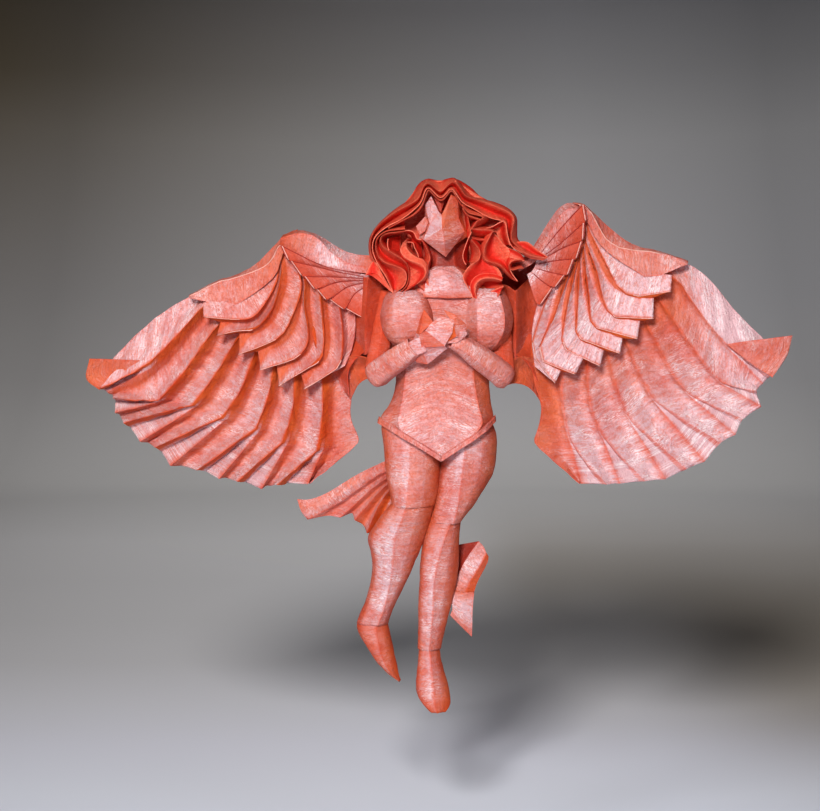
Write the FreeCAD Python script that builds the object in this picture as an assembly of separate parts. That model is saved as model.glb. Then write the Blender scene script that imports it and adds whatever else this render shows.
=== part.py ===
"""Folded paper angel: a hovering figure with crossed arms, waved hair and two pleated wings.

The figure is folded from one sheet, so it is one solid. X runs along the wings, -Y is the
front and +Z is up. The origin is the lowest edge of the hanging foot's toe.
"""
import FreeCAD, Part
import math
import os

Vec = FreeCAD.Vector

# ---- Driving sizes, millimetres and degrees -------------------------------------------------
PAPER = 0.45          # one visible sheet: the folded layers that lie flat on each other
HAIR_PAPER = 0.55     # stack of layers in a hair wave
WING_SWEEP = 0.12     # how far the wings lean back for each millimetre outwards
WING_BACK = 4.0       # depth of the wing sheet at the shoulder, behind the body's middle
LEFT_FEATHER = 86.0   # wrist to feather tips, left wing
RIGHT_FEATHER = 88.5  # wrist to feather tips, right wing
LEFT_PITCH = 11.1     # angle from one feather to the next, left wing
RIGHT_PITCH = 9.5     # the same on the right wing
PLEAT_DEPTH = 2.6     # front ridge to back valley of a feather pleat
COVERT_LIFT = 1.6     # how far the short feathers stand off at their free ends
LAYER_GAP = 1.15      # step from the long feathers forward to the short ones
THIGH = 37.0          # hip line to knee of the straight leg
SHIN = 47.0           # knee to ankle of the straight leg
FOOT = 23.0           # ankle to toe of the straight leg
BENT_THIGH = 29.5     # height taken by the bent leg's raised thigh
BENT_SHIN = 44.0      # knee to ankle of the bent leg
BENT_FOOT = 21.2      # ankle to toe of the bent leg
BODY_DEPTH = 8.0      # middle of the body to the back
FOREARM = 4.3         # radius of a forearm at the elbow
HAIR_FRONT = 9.5      # how far the hair waves come forward
HAIR_BACK = 9.0       # how far the hair reaches back
WEB = 0.9             # folded web from elbow to wing
HEM = 1.4             # double fold along the bodice's edge

# ---- Fixed layout ---------------------------------------------------------------------------
HIP_LINE = 107.0      # height of the hip line, the level that both legs hang from
FEATHERS = 8          # feathers in each wing
STEEP_SHARE = 0.27    # part of a feather's pitch taken by its steep face
TIP_SHARE = 0.22      # part of the pitch taken by the second fold at a feather's tip
ROOT_RADIUS = 8.0     # feathers are gathered to this radius at the wrist
STATIONS = (0.0, 0.3, 0.58, 0.74, 0.88, 1.0)  # shares of a fold line that it may bend at
SEW_GAP = 1e-4        # edges closer than this are sewn together


def moved(shape, vector):
    """A copy of the shape, shifted by the vector."""
    copy = shape.copy()
    copy.translate(vector)
    return copy


def facets(points):
    """Two flat triangles across the four corners of a cell, folded along its diagonal."""
    a, b, c, d = points
    return [Part.Face(Part.makePolygon([a, b, c, a])), Part.Face(Part.makePolygon([a, c, d, a]))]


def panel(points):
    """One flat face through corners that lie in a plane."""
    return Part.Face(Part.makePolygon(points + points[:1]))


def outward(solid):
    """The solid with its faces turned outwards."""
    if solid.Volume < 0:
        solid.reverse()
    return solid


def closed_solid(faces):
    """Solid inside a closed set of faces."""
    shell = Part.Compound(faces)
    shell.sewShape(SEW_GAP)
    return outward(Part.Solid(shell.Shells[0]))


def folded_sheet(folds, thickness=PAPER):
    """Sheet folded along the fold lines, each a list of points, thickened towards the back."""
    back = Vec(0, thickness, 0)
    behind = [[point + back for point in fold] for fold in folds]
    faces = []
    for surface in (folds, behind):
        for left, right in zip(surface, surface[1:]):
            for step in range(len(left) - 1):
                faces += facets([left[step], left[step + 1], right[step + 1], right[step]])
    rims = [folds[0], folds[-1], [fold[0] for fold in folds], [fold[-1] for fold in folds]]
    for rim in rims:
        for start, end in zip(rim, rim[1:]):
            faces.append(panel([start, end, end + back, start + back]))
    return closed_solid(faces)


def level(z, left, fold_left, fold_right, right, front, back):
    """Six corners at one height: a flat front panel between two folds, and a flat back."""
    side = (front + back) / 2
    return [
        Vec(left, side, z), Vec(fold_left, front, z), Vec(fold_right, front, z),
        Vec(right, side, z), Vec(fold_right, back, z), Vec(fold_left, back, z),
    ]


def ring(centre, axis, half_width, half_depth):
    """Six corners round a limb, square to its axis."""
    along = Vec(axis).normalize()
    across = along.cross(Vec(0, 1, 0)).normalize()
    deep = along.cross(across)
    corners = []
    for turn in range(6):
        angle = math.radians(60 * turn + 30)
        corners.append(centre + across * (half_width * math.cos(angle))
                       + deep * (half_depth * math.sin(angle)))
    return corners


def paper_tube(rings):
    """Closed folded tube through rings of corners, with flat facets between them."""
    faces = [panel(rings[0]), panel(rings[-1])]
    for low, high in zip(rings, rings[1:]):
        for side in range(len(low)):
            after = (side + 1) % len(low)
            faces += facets([low[side], low[after], high[after], high[side]])
    return closed_solid(faces)


def plate(outline, front, thickness):
    """Flat piece with an outline of (x, z) corners."""
    return panel([Vec(x, front, z) for x, z in outline]).extrude(Vec(0, thickness, 0))


# ---- Wings ----------------------------------------------------------------------------------
class Wing:
    """One wing: feathers pleated around the wrist, on a band that runs to the shoulder."""

    def __init__(self, side, wrist, shoulder, feather, pitch, first, swing, fullness):
        self.side = side            # -1 for the left wing, +1 for the right
        self.wrist = wrist          # (x, z) that the feathers fan out from
        self.shoulder = shoulder    # (x, z) that the wing leaves the body at
        self.feather = feather      # length of the long feathers
        self.pitch = pitch          # angle between feathers
        self.first = first          # angle of the leading edge below straight outwards
        self.swing = swing          # how far the tips of the feathers bend outwards
        self.fullness = fullness    # extra length of the feathers nearer the body, as a share

    def depth(self, x):
        """Middle depth of the wing at x."""
        return WING_BACK + WING_SWEEP * self.side * (x - self.shoulder[0])

    def point(self, radius, angle, offset):
        """Point at a radius and an angle below straight outwards, offset in depth."""
        turn = math.radians(angle)
        x = self.wrist[0] + self.side * radius * math.cos(turn)
        z = self.wrist[1] - radius * math.sin(turn)
        return Vec(x, self.depth(x) + offset, z)

    def fold_line(self, angle, swing, length, front, tip_front, forward, lift):
        """One fold from the wrist to the feather's end; front is +1 on a ridge, -1 in a valley."""
        bend_from = 0.58
        points = []
        for share in STATIONS:
            radius = ROOT_RADIUS + share * (length - ROOT_RADIUS)
            bent = max(0.0, (share - bend_from) / (1 - bend_from)) ** 1.4
            opened = min(1.0, radius / (0.45 * self.feather))
            rise = front + (tip_front - front) * bent
            offset = -rise * opened * PLEAT_DEPTH / 2 - forward - lift * share
            points.append(self.point(radius, angle - swing * bent, offset))
        return points

    def edge(self, line, offset):
        """Fold along the wing's inner edge, through given (x, z) points."""
        return [Vec(x, self.depth(x) + offset, z) for x, z in line]

    def leading_edge(self, line):
        """Fold along the front of the wing: shares of the feather length, and angles."""
        return [self.point(share * self.feather, angle, -PLEAT_DEPTH / 2) for share, angle in line]

    def long_feathers(self, leading, inner):
        """The large pleated sheet: ridge, valley and a second tip fold for each feather."""
        folds = [self.leading_edge(leading)]
        for count in range(FEATHERS):
            angle = self.first + count * self.pitch
            swing = self.swing * min(1.0, count / 3)
            after = self.swing * min(1.0, (count + 0.3) / 3)
            valley = angle + STEEP_SHARE * self.pitch
            tip = valley + TIP_SHARE * self.pitch
            length = self.feather * (1 + self.fullness * min(1.0, count / 4))
            if count:
                folds.append(self.fold_line(angle, swing, length, 1, 1, 0, 0))
            folds.append(self.fold_line(valley, after, length, -1, -1, 0, 0))
            folds.append(self.fold_line(tip, after, length, -0.6, 0.7, 0, 0))
        return folded_sheet(folds + [self.edge(inner, -PLEAT_DEPTH / 2)])

    def short_feathers(self, inner):
        """The covering layer: shorter pleats that stand off the long feathers."""
        folds = []
        for count in range(FEATHERS):
            angle = self.first + count * self.pitch
            length = self.feather * (0.41 + 0.018 * count)
            valley = angle + STEEP_SHARE * self.pitch
            folds.append(self.fold_line(angle, 0, length, 1, 1, LAYER_GAP, COVERT_LIFT))
            folds.append(self.fold_line(valley, 0, length * 0.93, -1, -1, LAYER_GAP, COVERT_LIFT))
        return folded_sheet(folds + [self.edge(inner, -LAYER_GAP - PLEAT_DEPTH / 2)])

    def band(self, top, bottom):
        """Thick leading band from the body over the wrist, holding every feather layer."""
        front, thickness = -4.2, 6.4
        edges = []
        for line in (top, bottom):
            edges.append([Vec(x, self.depth(x) + front, z) for x, z in line])
        return folded_sheet(edges, thickness)

    def shoulder_fan(self, ends, root):
        """Overlapping plates that spread from the shoulder over the short feathers."""
        folds = []
        for count, (x, z) in enumerate(ends):
            for fold, rise in ((0, 0.6), (1, -0.6)):
                share = fold * 0.12
                follow = ends[min(count + 1, len(ends) - 1)]
                end_x = x + share * (follow[0] - x)
                end_z = z + share * (follow[1] - z)
                root_z = root[1] + 2.5 - (count + share) * 1.1
                start = Vec(root[0], self.depth(root[0]) - 4.0, root_z)
                finish = Vec(end_x, self.depth(end_x) - 5.4 - rise, end_z)
                folds.append([start, finish])
        return folded_sheet(folds[:-1])


def left_wing():
    """The wing on the viewer's left, lower and more tightly pleated."""
    wing = Wing(-1, (-55, 172), (-22, 164), LEFT_FEATHER, LEFT_PITCH, 27, 16, 0.03)
    leading = [(0.1, 26.5), (0.43, 24.5), (0.64, 26.8), (0.79, 29.7), (0.9, 31.3), (0.98, 28.6)]
    inner = [(-26, 163), (-28, 147), (-30, 131), (-30.5, 118), (-30.5, 110), (-27.5, 100)]
    cover = [(-28, 163), (-30, 153), (-31.5, 144), (-33, 136), (-34.5, 128), (-36, 121.5)]
    top = [(-12, 170), (-33, 172), (-43, 178.5), (-50, 180.5), (-57, 176.5), (-66, 166.8), (-80, 161.8),
           (-91, 155.5)]
    bottom = [(-12, 160), (-33, 161), (-43, 162), (-50, 163), (-55, 162), (-64, 158), (-75, 150.8),
              (-83, 153.2)]
    fan = [(-52, 169), (-47.5, 163.5), (-43.5, 158.5), (-39.5, 154.7), (-32.5, 151), (-26, 148)]
    return [wing.long_feathers(leading, inner), wing.short_feathers(cover), wing.band(top, bottom),
            wing.shoulder_fan(fan, (-20, 163))]


def right_wing():
    """The wing on the viewer's right, raised higher and opened wider."""
    wing = Wing(1, (56, 180), (36, 170), RIGHT_FEATHER, RIGHT_PITCH, 28, 10, 0.08)
    leading = [(0.1, 20.5), (0.46, 17), (0.61, 22.2), (0.75, 27.9), (0.89, 30.6), (0.99, 26.3)]
    inner = [(35, 168), (37, 150), (39.5, 132), (41, 117), (40.5, 109), (38, 101.5)]
    cover = [(37, 168), (38.5, 157), (40, 147), (41, 139), (42, 131), (44.5, 124.5)]
    top = [(18, 168), (36, 174), (45, 186), (51, 190.5), (57, 190), (70, 177.3), (84, 172.2), (95, 168)]
    bottom = [(18, 158), (36, 162), (46, 168), (52, 170), (58, 170.5), (68, 169), (80, 161.5), (88, 165)]
    fan = [(56, 183), (55.5, 177), (53.5, 170), (49.5, 164), (45, 159.5), (39, 155)]
    return [wing.long_feathers(leading, inner), wing.short_feathers(cover), wing.band(top, bottom),
            wing.shoulder_fan(fan, (38, 169))]


# ---- Body -----------------------------------------------------------------------------------
def torso():
    """Collar to the pointed front of the bodice, with a flat folded panel down the front."""
    back = BODY_DEPTH
    return paper_tube([
        level(167, -1, 1, 8, 10.5, -5, back - 3),
        level(161, -17, -3, 13, 26, -8, back - 1),
        level(148, -17.5, -8, 17, 28.5, -10.5, back),
        level(134, -14, -8.5, 15, 24, -8.5, back),
        level(125, -13.3, -10, 15.3, 20.7, -8, back),
        level(116, -15.3, -11.5, 17, 21.8, -9, back + 0.5),
        level(HIP_LINE + 1, -20, -12.5, 18.5, 23.8, -11.5, back + 1.5),
        level(HIP_LINE - 13, 1.8, 2.6, 3.6, 4.6, -11.8, back - 4),
    ])


def bodice_hem():
    """Double fold that edges the bodice's point, standing proud of the thighs."""
    point = HIP_LINE - 13
    left = folded_sheet([
        [Vec(-20.4, -1, HIP_LINE + 0.4), Vec(-12.7, -12, HIP_LINE - 4), Vec(3, -12.6, point)],
        [Vec(-19, -1, HIP_LINE + 4), Vec(-12, -12, HIP_LINE - 0.6), Vec(3, -12.6, point + 3)]], HEM)
    right = folded_sheet([
        [Vec(24.2, -1, HIP_LINE + 0.6), Vec(18.6, -12, HIP_LINE - 2.6), Vec(3, -12.6, point)],
        [Vec(24, -1, HIP_LINE + 4), Vec(18, -12, HIP_LINE + 0.6), Vec(3, -12.6, point + 3)]], HEM)
    return [left, right]


def chest():
    """The two rounded folds of the chest."""
    left = paper_tube([
        level(156.5, -17, -14, -5, -2, -10, 0),
        level(150, -18.6, -15, -3, 0, -14.5, 0),
        level(144, -18, -14, -3, 0, -15, 0),
        level(137, -14, -11, -5, -3, -10, 0),
    ])
    right = paper_tube([
        level(157.5, 14, 17, 24, 27, -10, 0),
        level(150, 10.5, 14, 26, 29.4, -14.5, 0),
        level(144, 11, 14, 25, 28.8, -15, 0),
        level(137, 14, 16, 22, 25.3, -10, 0),
    ])
    return [left, right]


def neck():
    """Throat between the collar and the chin."""
    return paper_tube([
        level(163, 0, 2, 8, 10, -5.5, 4),
        level(178, 0.5, 2, 7, 9, -5, 4),
    ])


def face():
    """Blank faceted face: two brow plates, a centre fold and a pointed chin."""
    return paper_tube([
        level(171, 4.2, 4.6, 5.4, 5.8, -10, 2),
        level(177.8, -3.2, 3.2, 4.6, 11.5, -12.5, 3),
        level(187, -1.8, 2.2, 4.6, 9.4, -11.5, 3),
        level(193.3, 0, 1.4, 5.6, 8, -8.5, 3),
    ])


def leg(top, height, rows):
    """A leg from the top level down: rows of share, left, ridge, right, front and back."""
    rings = []
    ridge_half = 1.2
    for share, left, ridge, right, front, back in rows:
        z = top - share * height
        rings.append(level(z, left, ridge - ridge_half, ridge + ridge_half, right, front, back))
    return paper_tube(rings)


def straight_leg():
    """The leg that hangs straight, from the hip line to the ankle hem."""
    knee = HIP_LINE - THIGH
    ankle = knee - SHIN
    thigh = leg(HIP_LINE, THIGH, [
        (0, 4.2, 12, 23.3, -9, 8), (0.27, 4, 12, 24, -10, 8), (0.46, 3.8, 11, 23, -9.5, 7),
        (0.8, 1.6, 10, 16, -8.5, 5), (1, -0.2, 8, 10.2, -7.5, 4)])
    shin = leg(knee + 1, SHIN + 1, [
        (0, -0.3, 8, 10, -7.3, 4), (0.17, -2.8, 4, 10, -6.5, 5), (0.4, -4.2, 2, 9.7, -5.5, 5.5),
        (0.6, -4.6, 1, 7.5, -4.5, 5), (0.78, -4.9, 0.5, 5.7, -3.8, 4.5), (1, -5.1, -1, 3.3, -3.2, 4.2)])
    foot = leg(ankle + 3, FOOT + 3, [
        (0, -4.4, -1, 2.6, -2.6, 3.6), (0.2, -4.8, 0, 3.2, -3.6, 4), (0.45, -5.6, 0.5, 4.8, -5, 4.4),
        (0.7, -6, 0.8, 6.3, -6.6, 3.6), (0.87, -4.6, 1.2, 6.9, -7.8, 0), (1, 0.4, 2.4, 4.6, -8, -5)])
    return [thigh, shin, foot]


def bent_leg():
    """The leg with the raised knee and the shin carried back and outwards."""
    knee = HIP_LINE - BENT_THIGH
    ankle = knee - BENT_SHIN
    thigh = leg(HIP_LINE, BENT_THIGH + 2, [
        (0, -19, -8, 2.4, -9.5, 7.5), (0.48, -17.5, -8.5, 3, -11, 6), (0.8, -16, -9, 1.8, -12.6, 3),
        (1, -14.5, -10, 0, -12.8, 1)])
    shin = leg(knee, BENT_SHIN, [
        (0, -15, -10, 0.4, -12.9, 1), (0.15, -20.5, -14, -1.6, -11.4, 3), (0.29, -24, -15.5, -4, -10, 4.5),
        (0.51, -22, -17, -7.4, -7, 5), (0.72, -23.3, -18, -11, -5, 6), (0.88, -25.5, -19.5, -14.4, -3.4, 7),
        (1, -28.4, -21, -16.4, -2.5, 8)])
    foot = leg(ankle + 3, BENT_FOOT + 3, [
        (0, -26, -20.5, -17, -2, 7), (0.15, -27.4, -21, -16.4, -3, 7.4), (0.36, -26, -20, -15.2, -4.2, 6.4),
        (0.58, -22.6, -18.5, -14, -5.2, 4.6), (0.8, -20, -16.5, -13, -6.2, 2.4), (1, -13.4, -12.8, -12, -7.4, -4)])
    return [thigh, shin, foot]


def arm(shoulder, elbow, wrist):
    """Upper arm behind the chest, and the forearm folded forward across it."""
    upper = paper_tube([ring(shoulder, elbow - shoulder, FOREARM * 0.8, FOREARM * 0.9),
                        ring(elbow, elbow - shoulder, FOREARM * 0.95, FOREARM)])
    reach = wrist - elbow
    lower = paper_tube([ring(elbow - reach * 0.12, reach, FOREARM * 0.75, FOREARM * 0.75),
                        ring(elbow + reach * 0.12, reach, FOREARM, FOREARM),
                        ring(wrist, reach, FOREARM * 0.74, FOREARM * 0.6)])
    return [upper, lower]


def arms():
    """Both arms, and the hands laid over each other on the chest."""
    left = arm(Vec(-16, 1, 157), Vec(-20.5, -6, 128), Vec(-5, -16.5, 139.5))
    right = arm(Vec(25, 1, 158), Vec(26, -6, 127.5), Vec(8, -15, 141))
    top_hand = plate([(-8, 139), (-6, 146), (-5.5, 150), (-2, 148.2), (3, 150.4), (7, 149),
                      (9, 145), (5, 140), (1, 137.5)], -19.5, 3)
    under_hand = plate([(4, 140), (6, 147), (10.8, 148.3), (12.2, 144), (11, 139)], -17, 3.5)
    return left + right + [top_hand, under_hand]


def webs():
    """Folded webs that join the elbows and the back to the wings."""
    left_elbow = folded_sheet([
        [Vec(-22, -6, 132), Vec(-29, -2, 133.5), Vec(-37, 8, 129)],
        [Vec(-21, -3, 129), Vec(-29, 1, 128), Vec(-35, 9, 124)],
        [Vec(-18, -6, 125.5), Vec(-26, -2, 124.5), Vec(-32.5, 8, 118)]], WEB)
    right_elbow = folded_sheet([
        [Vec(27, -6, 131), Vec(36, -2, 134), Vec(44, 8, 130)],
        [Vec(26, -3, 128), Vec(35, 1, 128), Vec(43, 9, 124)],
        [Vec(23, -6, 124), Vec(34, -2, 124.4), Vec(41.5, 8, 117)]], WEB)
    left_back = folded_sheet([
        [Vec(-10, 4, 162), Vec(-11, 4, 132)], [Vec(-20, 1, 163), Vec(-19, 2, 132)],
        [Vec(-24, 4.5, 163), Vec(-25, 5, 131)], [Vec(-32, 5, 166), Vec(-33, 7.5, 130)]], WEB)
    right_back = folded_sheet([
        [Vec(18, 4, 162), Vec(18, 4, 132)], [Vec(30, 1.5, 164), Vec(31, 2, 133)],
        [Vec(34, 6, 166), Vec(35, 7, 132)], [Vec(40, 5, 168), Vec(42, 7, 130)]], WEB)
    return [left_elbow, right_elbow, left_back, right_back]


def ribbons():
    """Pleated ribbon blown out behind the bent leg, and the twisted one by the straight leg."""
    tips = [(-50.5, 80), (-46.8, 73), (-38, 73.6), (-31.5, 76), (-27, 72), (-24, 67.3), (-21, 70),
            (-17.6, 75.6)]
    folds = []
    for count, (x, z) in enumerate(tips):
        ridge = 0.9 if count % 2 else -0.9
        root = Vec(-14, 1, 92 - count)
        middle = Vec((x - 16) / 2, 2.5 + ridge / 2, (z + 92 - count) / 2 + 1.5)
        folds.append([root, middle, Vec(x, 5 + ridge, z)])
    twist = folded_sheet([
        [Vec(7, 2, 61), Vec(7.5, 3, 50), Vec(5.5, 3.5, 42.5)],
        [Vec(18, 7, 62.8), Vec(14.8, 5.5, 54), Vec(9.5, 3.2, 44)],
        [Vec(20.9, 5, 58), Vec(18.8, 4, 51), Vec(15.4, 3.5, 42)]])
    tail = folded_sheet([
        [Vec(6, 3.4, 43), Vec(7, 3, 34.6)],
        [Vec(10, 3.1, 44.4), Vec(12, 2, 30.3)],
        [Vec(15.4, 3.4, 43), Vec(14.9, 3.4, 27)]])
    return [folded_sheet(folds), twist, tail]


# ---- Hair -----------------------------------------------------------------------------------
def wave(points, front, back):
    """One hair wave: a curved strip seen edge on, standing from its front edge to the back."""
    line = Part.BSplineCurve()
    line.interpolate([Vec(x, 0, z) for x, z in points])
    steps = 3 * (len(points) - 1)
    outer = []
    inner = []
    for step in range(steps + 1):
        at = line.FirstParameter + (line.LastParameter - line.FirstParameter) * step / steps
        side = line.tangent(at)[0].cross(Vec(0, 1, 0)).normalize() * (HAIR_PAPER / 2)
        spot = line.value(at) + Vec(0, -front, 0)
        outer.append(spot + side)
        inner.append(spot - side)
    return panel(outer + inner[::-1]).extrude(Vec(0, front + back, 0))


def hair_mass():
    """The gathered hair behind the face, pleated down the back."""
    rows = [
        (157, -15, 19, 3), (163, -20, 25, 6), (172, -23.6, 30, 8.5), (178, -22.8, 31, HAIR_BACK),
        (186, -15, 30.8, HAIR_BACK), (191, -9.5, 20, 7), (196, -5.5, 14, 5), (199, -2.5, 8.5, 2),
    ]
    pleats = 8
    rings = []
    for z, left, right, depth in rows:
        corners = [Vec(left, 1.5, z), Vec(right, 1.5, z)]
        for count in range(pleats + 1):
            share = count / pleats
            bulge = math.sin(math.pi * (0.08 + 0.84 * share))
            ridge = 0.7 if count % 2 else -0.7
            x = right + (left - right) * (0.02 + 0.96 * share)
            corners.append(Vec(x, 2.2 + depth * bulge + ridge * bulge, z))
        rings.append(corners)
    return paper_tube(rings)


def hair():
    """Waves of folded strips round the face, all rooted in the gathered hair."""
    front, back = HAIR_FRONT, 3.0
    strands = [
        [(-10, 189.5), (-5, 192), (-1.6, 198), (3, 193.6), (7.4, 198.3), (11, 193), (20, 190.6), (28.5, 188.5),
         (31, 184.5), (30.7, 178)],
        [(-9, 187.5), (-4.4, 190), (-1.6, 195.6), (3, 191), (7.4, 195.6), (10.2, 189.8), (14, 186.6), (19, 185.6)],
        [(-5, 190.5), (-14, 186.5), (-21.5, 180.5), (-23.8, 173), (-20, 165.5), (-14.5, 158)],
        [(-8, 186.8), (-15.5, 181.8), (-21, 178.5), (-20, 171.5), (-13, 167), (-10.8, 163), (-13, 158)],
        [(-7.5, 184.3), (-14, 180.6), (-18.8, 177), (-15, 172.2), (-6, 169), (-3.3, 166), (-6, 161)],
        [(-7.5, 180), (-11.8, 175.2), (-8.6, 171.2), (-3.6, 168.8)],
        [(-5, 178.4), (-1.9, 174), (-1.6, 168.5), (-2.2, 163.5), (1, 156.8)],
        [(12.5, 188.4), (17.4, 183.6), (20.2, 180.4), (19, 174), (21, 168.4), (25.5, 165.6), (30.5, 162)],
        [(19.5, 181), (25, 184), (27.6, 178.5), (30, 173.8), (35, 171.6), (41.5, 170.4)],
        [(22, 180), (24.6, 175.6), (31, 171.6), (33.2, 168.4), (29, 168)],
        [(12.4, 178), (16.8, 172.2), (13, 167.4), (10.8, 162.8), (15.5, 157), (21.4, 151.6), (25.4, 161),
         (19, 163.2), (15.8, 158.6)],
        [(12.2, 178), (9.6, 172), (12.6, 167.2)],
    ]
    reach = [front, front - 1, front - 3, front - 2, front - 1.5, front - 1, front, front - 1, front - 3,
             front - 2, front + 1, front - 1.5]
    return [wave(points, depth, back) for points, depth in zip(strands, reach)]


def angel():
    """Every fold joined into the one sheet, with the toe's lowest edge at the origin."""
    parts = (left_wing() + right_wing() + [torso(), neck(), face(), hair_mass()] + chest()
             + bodice_hem() + straight_leg() + bent_leg() + arms() + webs() + ribbons() + hair())
    sheet = outward(parts[0].fuse(parts[1:]).Solids[0])
    toe = Vec(2.5, -6.5, HIP_LINE - THIGH - SHIN - FOOT)
    return moved(sheet, toe * -1)


def main():
    """Write the solid."""
    os.makedirs("parts", exist_ok=True)
    angel().exportStep("parts/folded_angel.step")


main()
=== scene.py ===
"""Folded paper angel: the finished look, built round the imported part.

The figure is folded from one sheet of pearl-coated long-fibred paper. Every visible fold is a
mesh of its own here, and they all stand for the part's single folded solid. Sizes are in
millimetres on the folder's own drawing grid: X runs along the wings, -Y is the front, +Z is up.
"""

import logging
import math
from dataclasses import dataclass
from enum import Enum

import bmesh
import bpy
import numpy as np
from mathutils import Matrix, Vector, noise

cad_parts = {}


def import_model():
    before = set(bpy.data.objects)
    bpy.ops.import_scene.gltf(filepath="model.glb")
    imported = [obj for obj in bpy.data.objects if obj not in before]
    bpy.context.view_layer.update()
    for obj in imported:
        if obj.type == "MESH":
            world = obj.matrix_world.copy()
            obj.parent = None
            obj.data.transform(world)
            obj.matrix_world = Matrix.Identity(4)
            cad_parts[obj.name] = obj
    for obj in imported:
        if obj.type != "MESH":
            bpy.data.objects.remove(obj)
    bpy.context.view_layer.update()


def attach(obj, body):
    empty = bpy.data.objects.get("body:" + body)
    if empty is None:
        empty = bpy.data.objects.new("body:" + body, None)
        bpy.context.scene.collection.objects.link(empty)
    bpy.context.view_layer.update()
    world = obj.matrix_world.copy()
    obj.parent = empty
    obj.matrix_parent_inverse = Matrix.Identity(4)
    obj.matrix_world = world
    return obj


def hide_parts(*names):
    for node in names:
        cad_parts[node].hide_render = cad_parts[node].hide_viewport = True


Point2 = tuple[float, float]
Point3 = tuple[float, float, float]

NODE = "folded_angel"
BODY = "root"
MM = 0.001
TOE = (2.5, -6.5, 0.0)          # the toe's lowest edge, which the part's origin lies on
GRAIN = 0.95                    # spacing of mesh lines that carries the paper's crumple
FINE = 0.7                      # the same where folds are small
CROSS_PITCH = 12.0              # spacing of the faint folds that cross the pleats
PRESSED_WIDTH = 0.34            # width of the line that a pressed edge shows
PRESSED_RISE = 0.16             # how far that line stands proud of the fold
KINK_EASE = 0.06                # half the share of a feather over which its pearl, which also paints sheen and shade, changes at its kink
NEVER = 2.0                     # a column that is nowhere a crisp fold starts past its own end
SMALL_CRUMPLE, LARGE_CRUMPLE, FACET_CRUMPLE = 2.6, 11.0, (2.2, 7.0)     # patch sizes of the crumple
SLANT_PITCH, SLANT = 16.0, 1.1  # patch size and strength of what bends the cross folds
FOLD_ANGLE = 0.12               # radians beyond which two facets meet in a fold
PLAIN_TONE = 0.8                # pearl on a facet that names none, which also paints its sheen
LEFT_WING_SEED, RIGHT_WING_SEED = 3.0, 31.0     # seeds are fixed, so that every run crumples alike
LOG = logging.getLogger("folded_angel")


class Crease(Enum):
    """How a fold line turns: pressed with a bone folder, or left as a soft bend."""

    CRISP = "C"
    SOFT = "S"


class Paper(Enum):
    """Which paper a flap takes: the pearl paper, or a copy of it made darker or redder as painted shade."""

    BRUSHED = "pearl_and_sheen"
    SHADED_COPY = "shaded_copy"
    CURLED = "curled"
    DEEP_SHADE = "deep"


class Pressed(Enum):
    """What is painted along a fold: nothing, a pale edge as painted highlight, or a dark line as painted
    shade in the gap under it.
    """

    PLAIN = 0.0
    PALE_HIGHLIGHT = 1.0
    GAP_SHADE = -1.0


# ---- Lines and sheets -----------------------------------------------------------------------
def round_corners(corners: np.ndarray, rounding: int) -> np.ndarray:
    """Cut a polyline's corners again and again, keeping its two ends.

    Args:
        corners: the polyline, one corner to a row.
        rounding: how many times to cut.

    Returns:
        The rounded polyline.
    """
    dense = corners
    for _ in range(rounding):
        if len(dense) < 3:
            break
        cut = np.empty((len(dense) * 2 - 2, dense.shape[1]))
        cut[0::2] = dense[:-1] * 0.75 + dense[1:] * 0.25
        cut[1::2] = dense[:-1] * 0.25 + dense[1:] * 0.75
        cut[0], cut[-1] = dense[0], dense[-1]
        dense = cut
    return dense


def line_of(points: list, rows: int, rounding: int = 0) -> np.ndarray:
    """Evenly spaced points along a polyline.

    Args:
        points: corners of the polyline, as (x, y, z) or (x, z) tuples.
        rows: number of points wanted.
        rounding: passes of smoothing that round the corners.

    Returns:
        Array of rows by the corners' own number of coordinates.
    """
    dense = round_corners(np.array(points, dtype=float), rounding)
    steps = np.linalg.norm(np.diff(dense, axis=0), axis=1)
    along = np.concatenate([[0.0], np.cumsum(steps)])
    wanted = np.linspace(0.0, along[-1], rows)
    return np.stack([np.interp(wanted, along, column) for column in dense.T], axis=1)


def two_part_line(body: list, tip: list, rows: int, turn: float) -> np.ndarray:
    """Line with its kink at a set share of its rows.

    Args:
        body: corners up to the kink.
        tip: corners from the kink to the end; the first is the body's last.
        rows: number of points wanted.
        turn: share of the rows that the body takes.

    Returns:
        Array of rows by coordinates.
    """
    upper = max(2, int(round(rows * turn)))
    first = line_of(body, upper, 2)
    last = line_of(tip, rows - upper + 1, 1)
    return np.concatenate([first, last[1:]])


def ease(low: float, high: float, value: np.ndarray) -> np.ndarray:
    """Smooth step from 0 at low to 1 at high."""
    share = np.clip((value - low) / (high - low), 0.0, 1.0)
    return share * share * (3 - 2 * share)


def crumple(place: np.ndarray, seed: float, reach: float) -> float:
    """Height of the paper's handling marks at a place.

    Args:
        place: point in millimetres.
        seed: shifts the pattern, so that no two sheets share it.
        reach: distance between marks in millimetres.

    Returns:
        Height from about -1 to 1.
    """
    spot = Vector(place) / reach + Vector((seed, seed * 1.7, -seed))
    return noise.noise(spot) + 0.5 * noise.noise(spot * 2.3) + 0.3 * (1 - 2 * abs(noise.noise(spot * 1.2)))


@dataclass
class Fold:
    """One fold line of a sheet."""

    line: np.ndarray
    kind: Crease = Crease.CRISP
    # how strongly the fold's ridge line shows: painted shade along a steep side, or on the hair a painted
    # highlight rim
    ridge_shaded: float = 1.0
    starts: float = 0.0
    pearl: float = 1.0          # pearl on the side that reaches the fold; high pearl also paints sheen, low pearl shade
    beyond: float = 1.0         # pearl on the side that leaves it, painting sheen and shade alike
    root: tuple[float, float] | None = None     # the same two, nearer the root than the sheet's kink
    pressed: Pressed = Pressed.PLAIN
    span: tuple[float, float] = (0.0, 1.0)      # share of the line that is pressed


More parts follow.
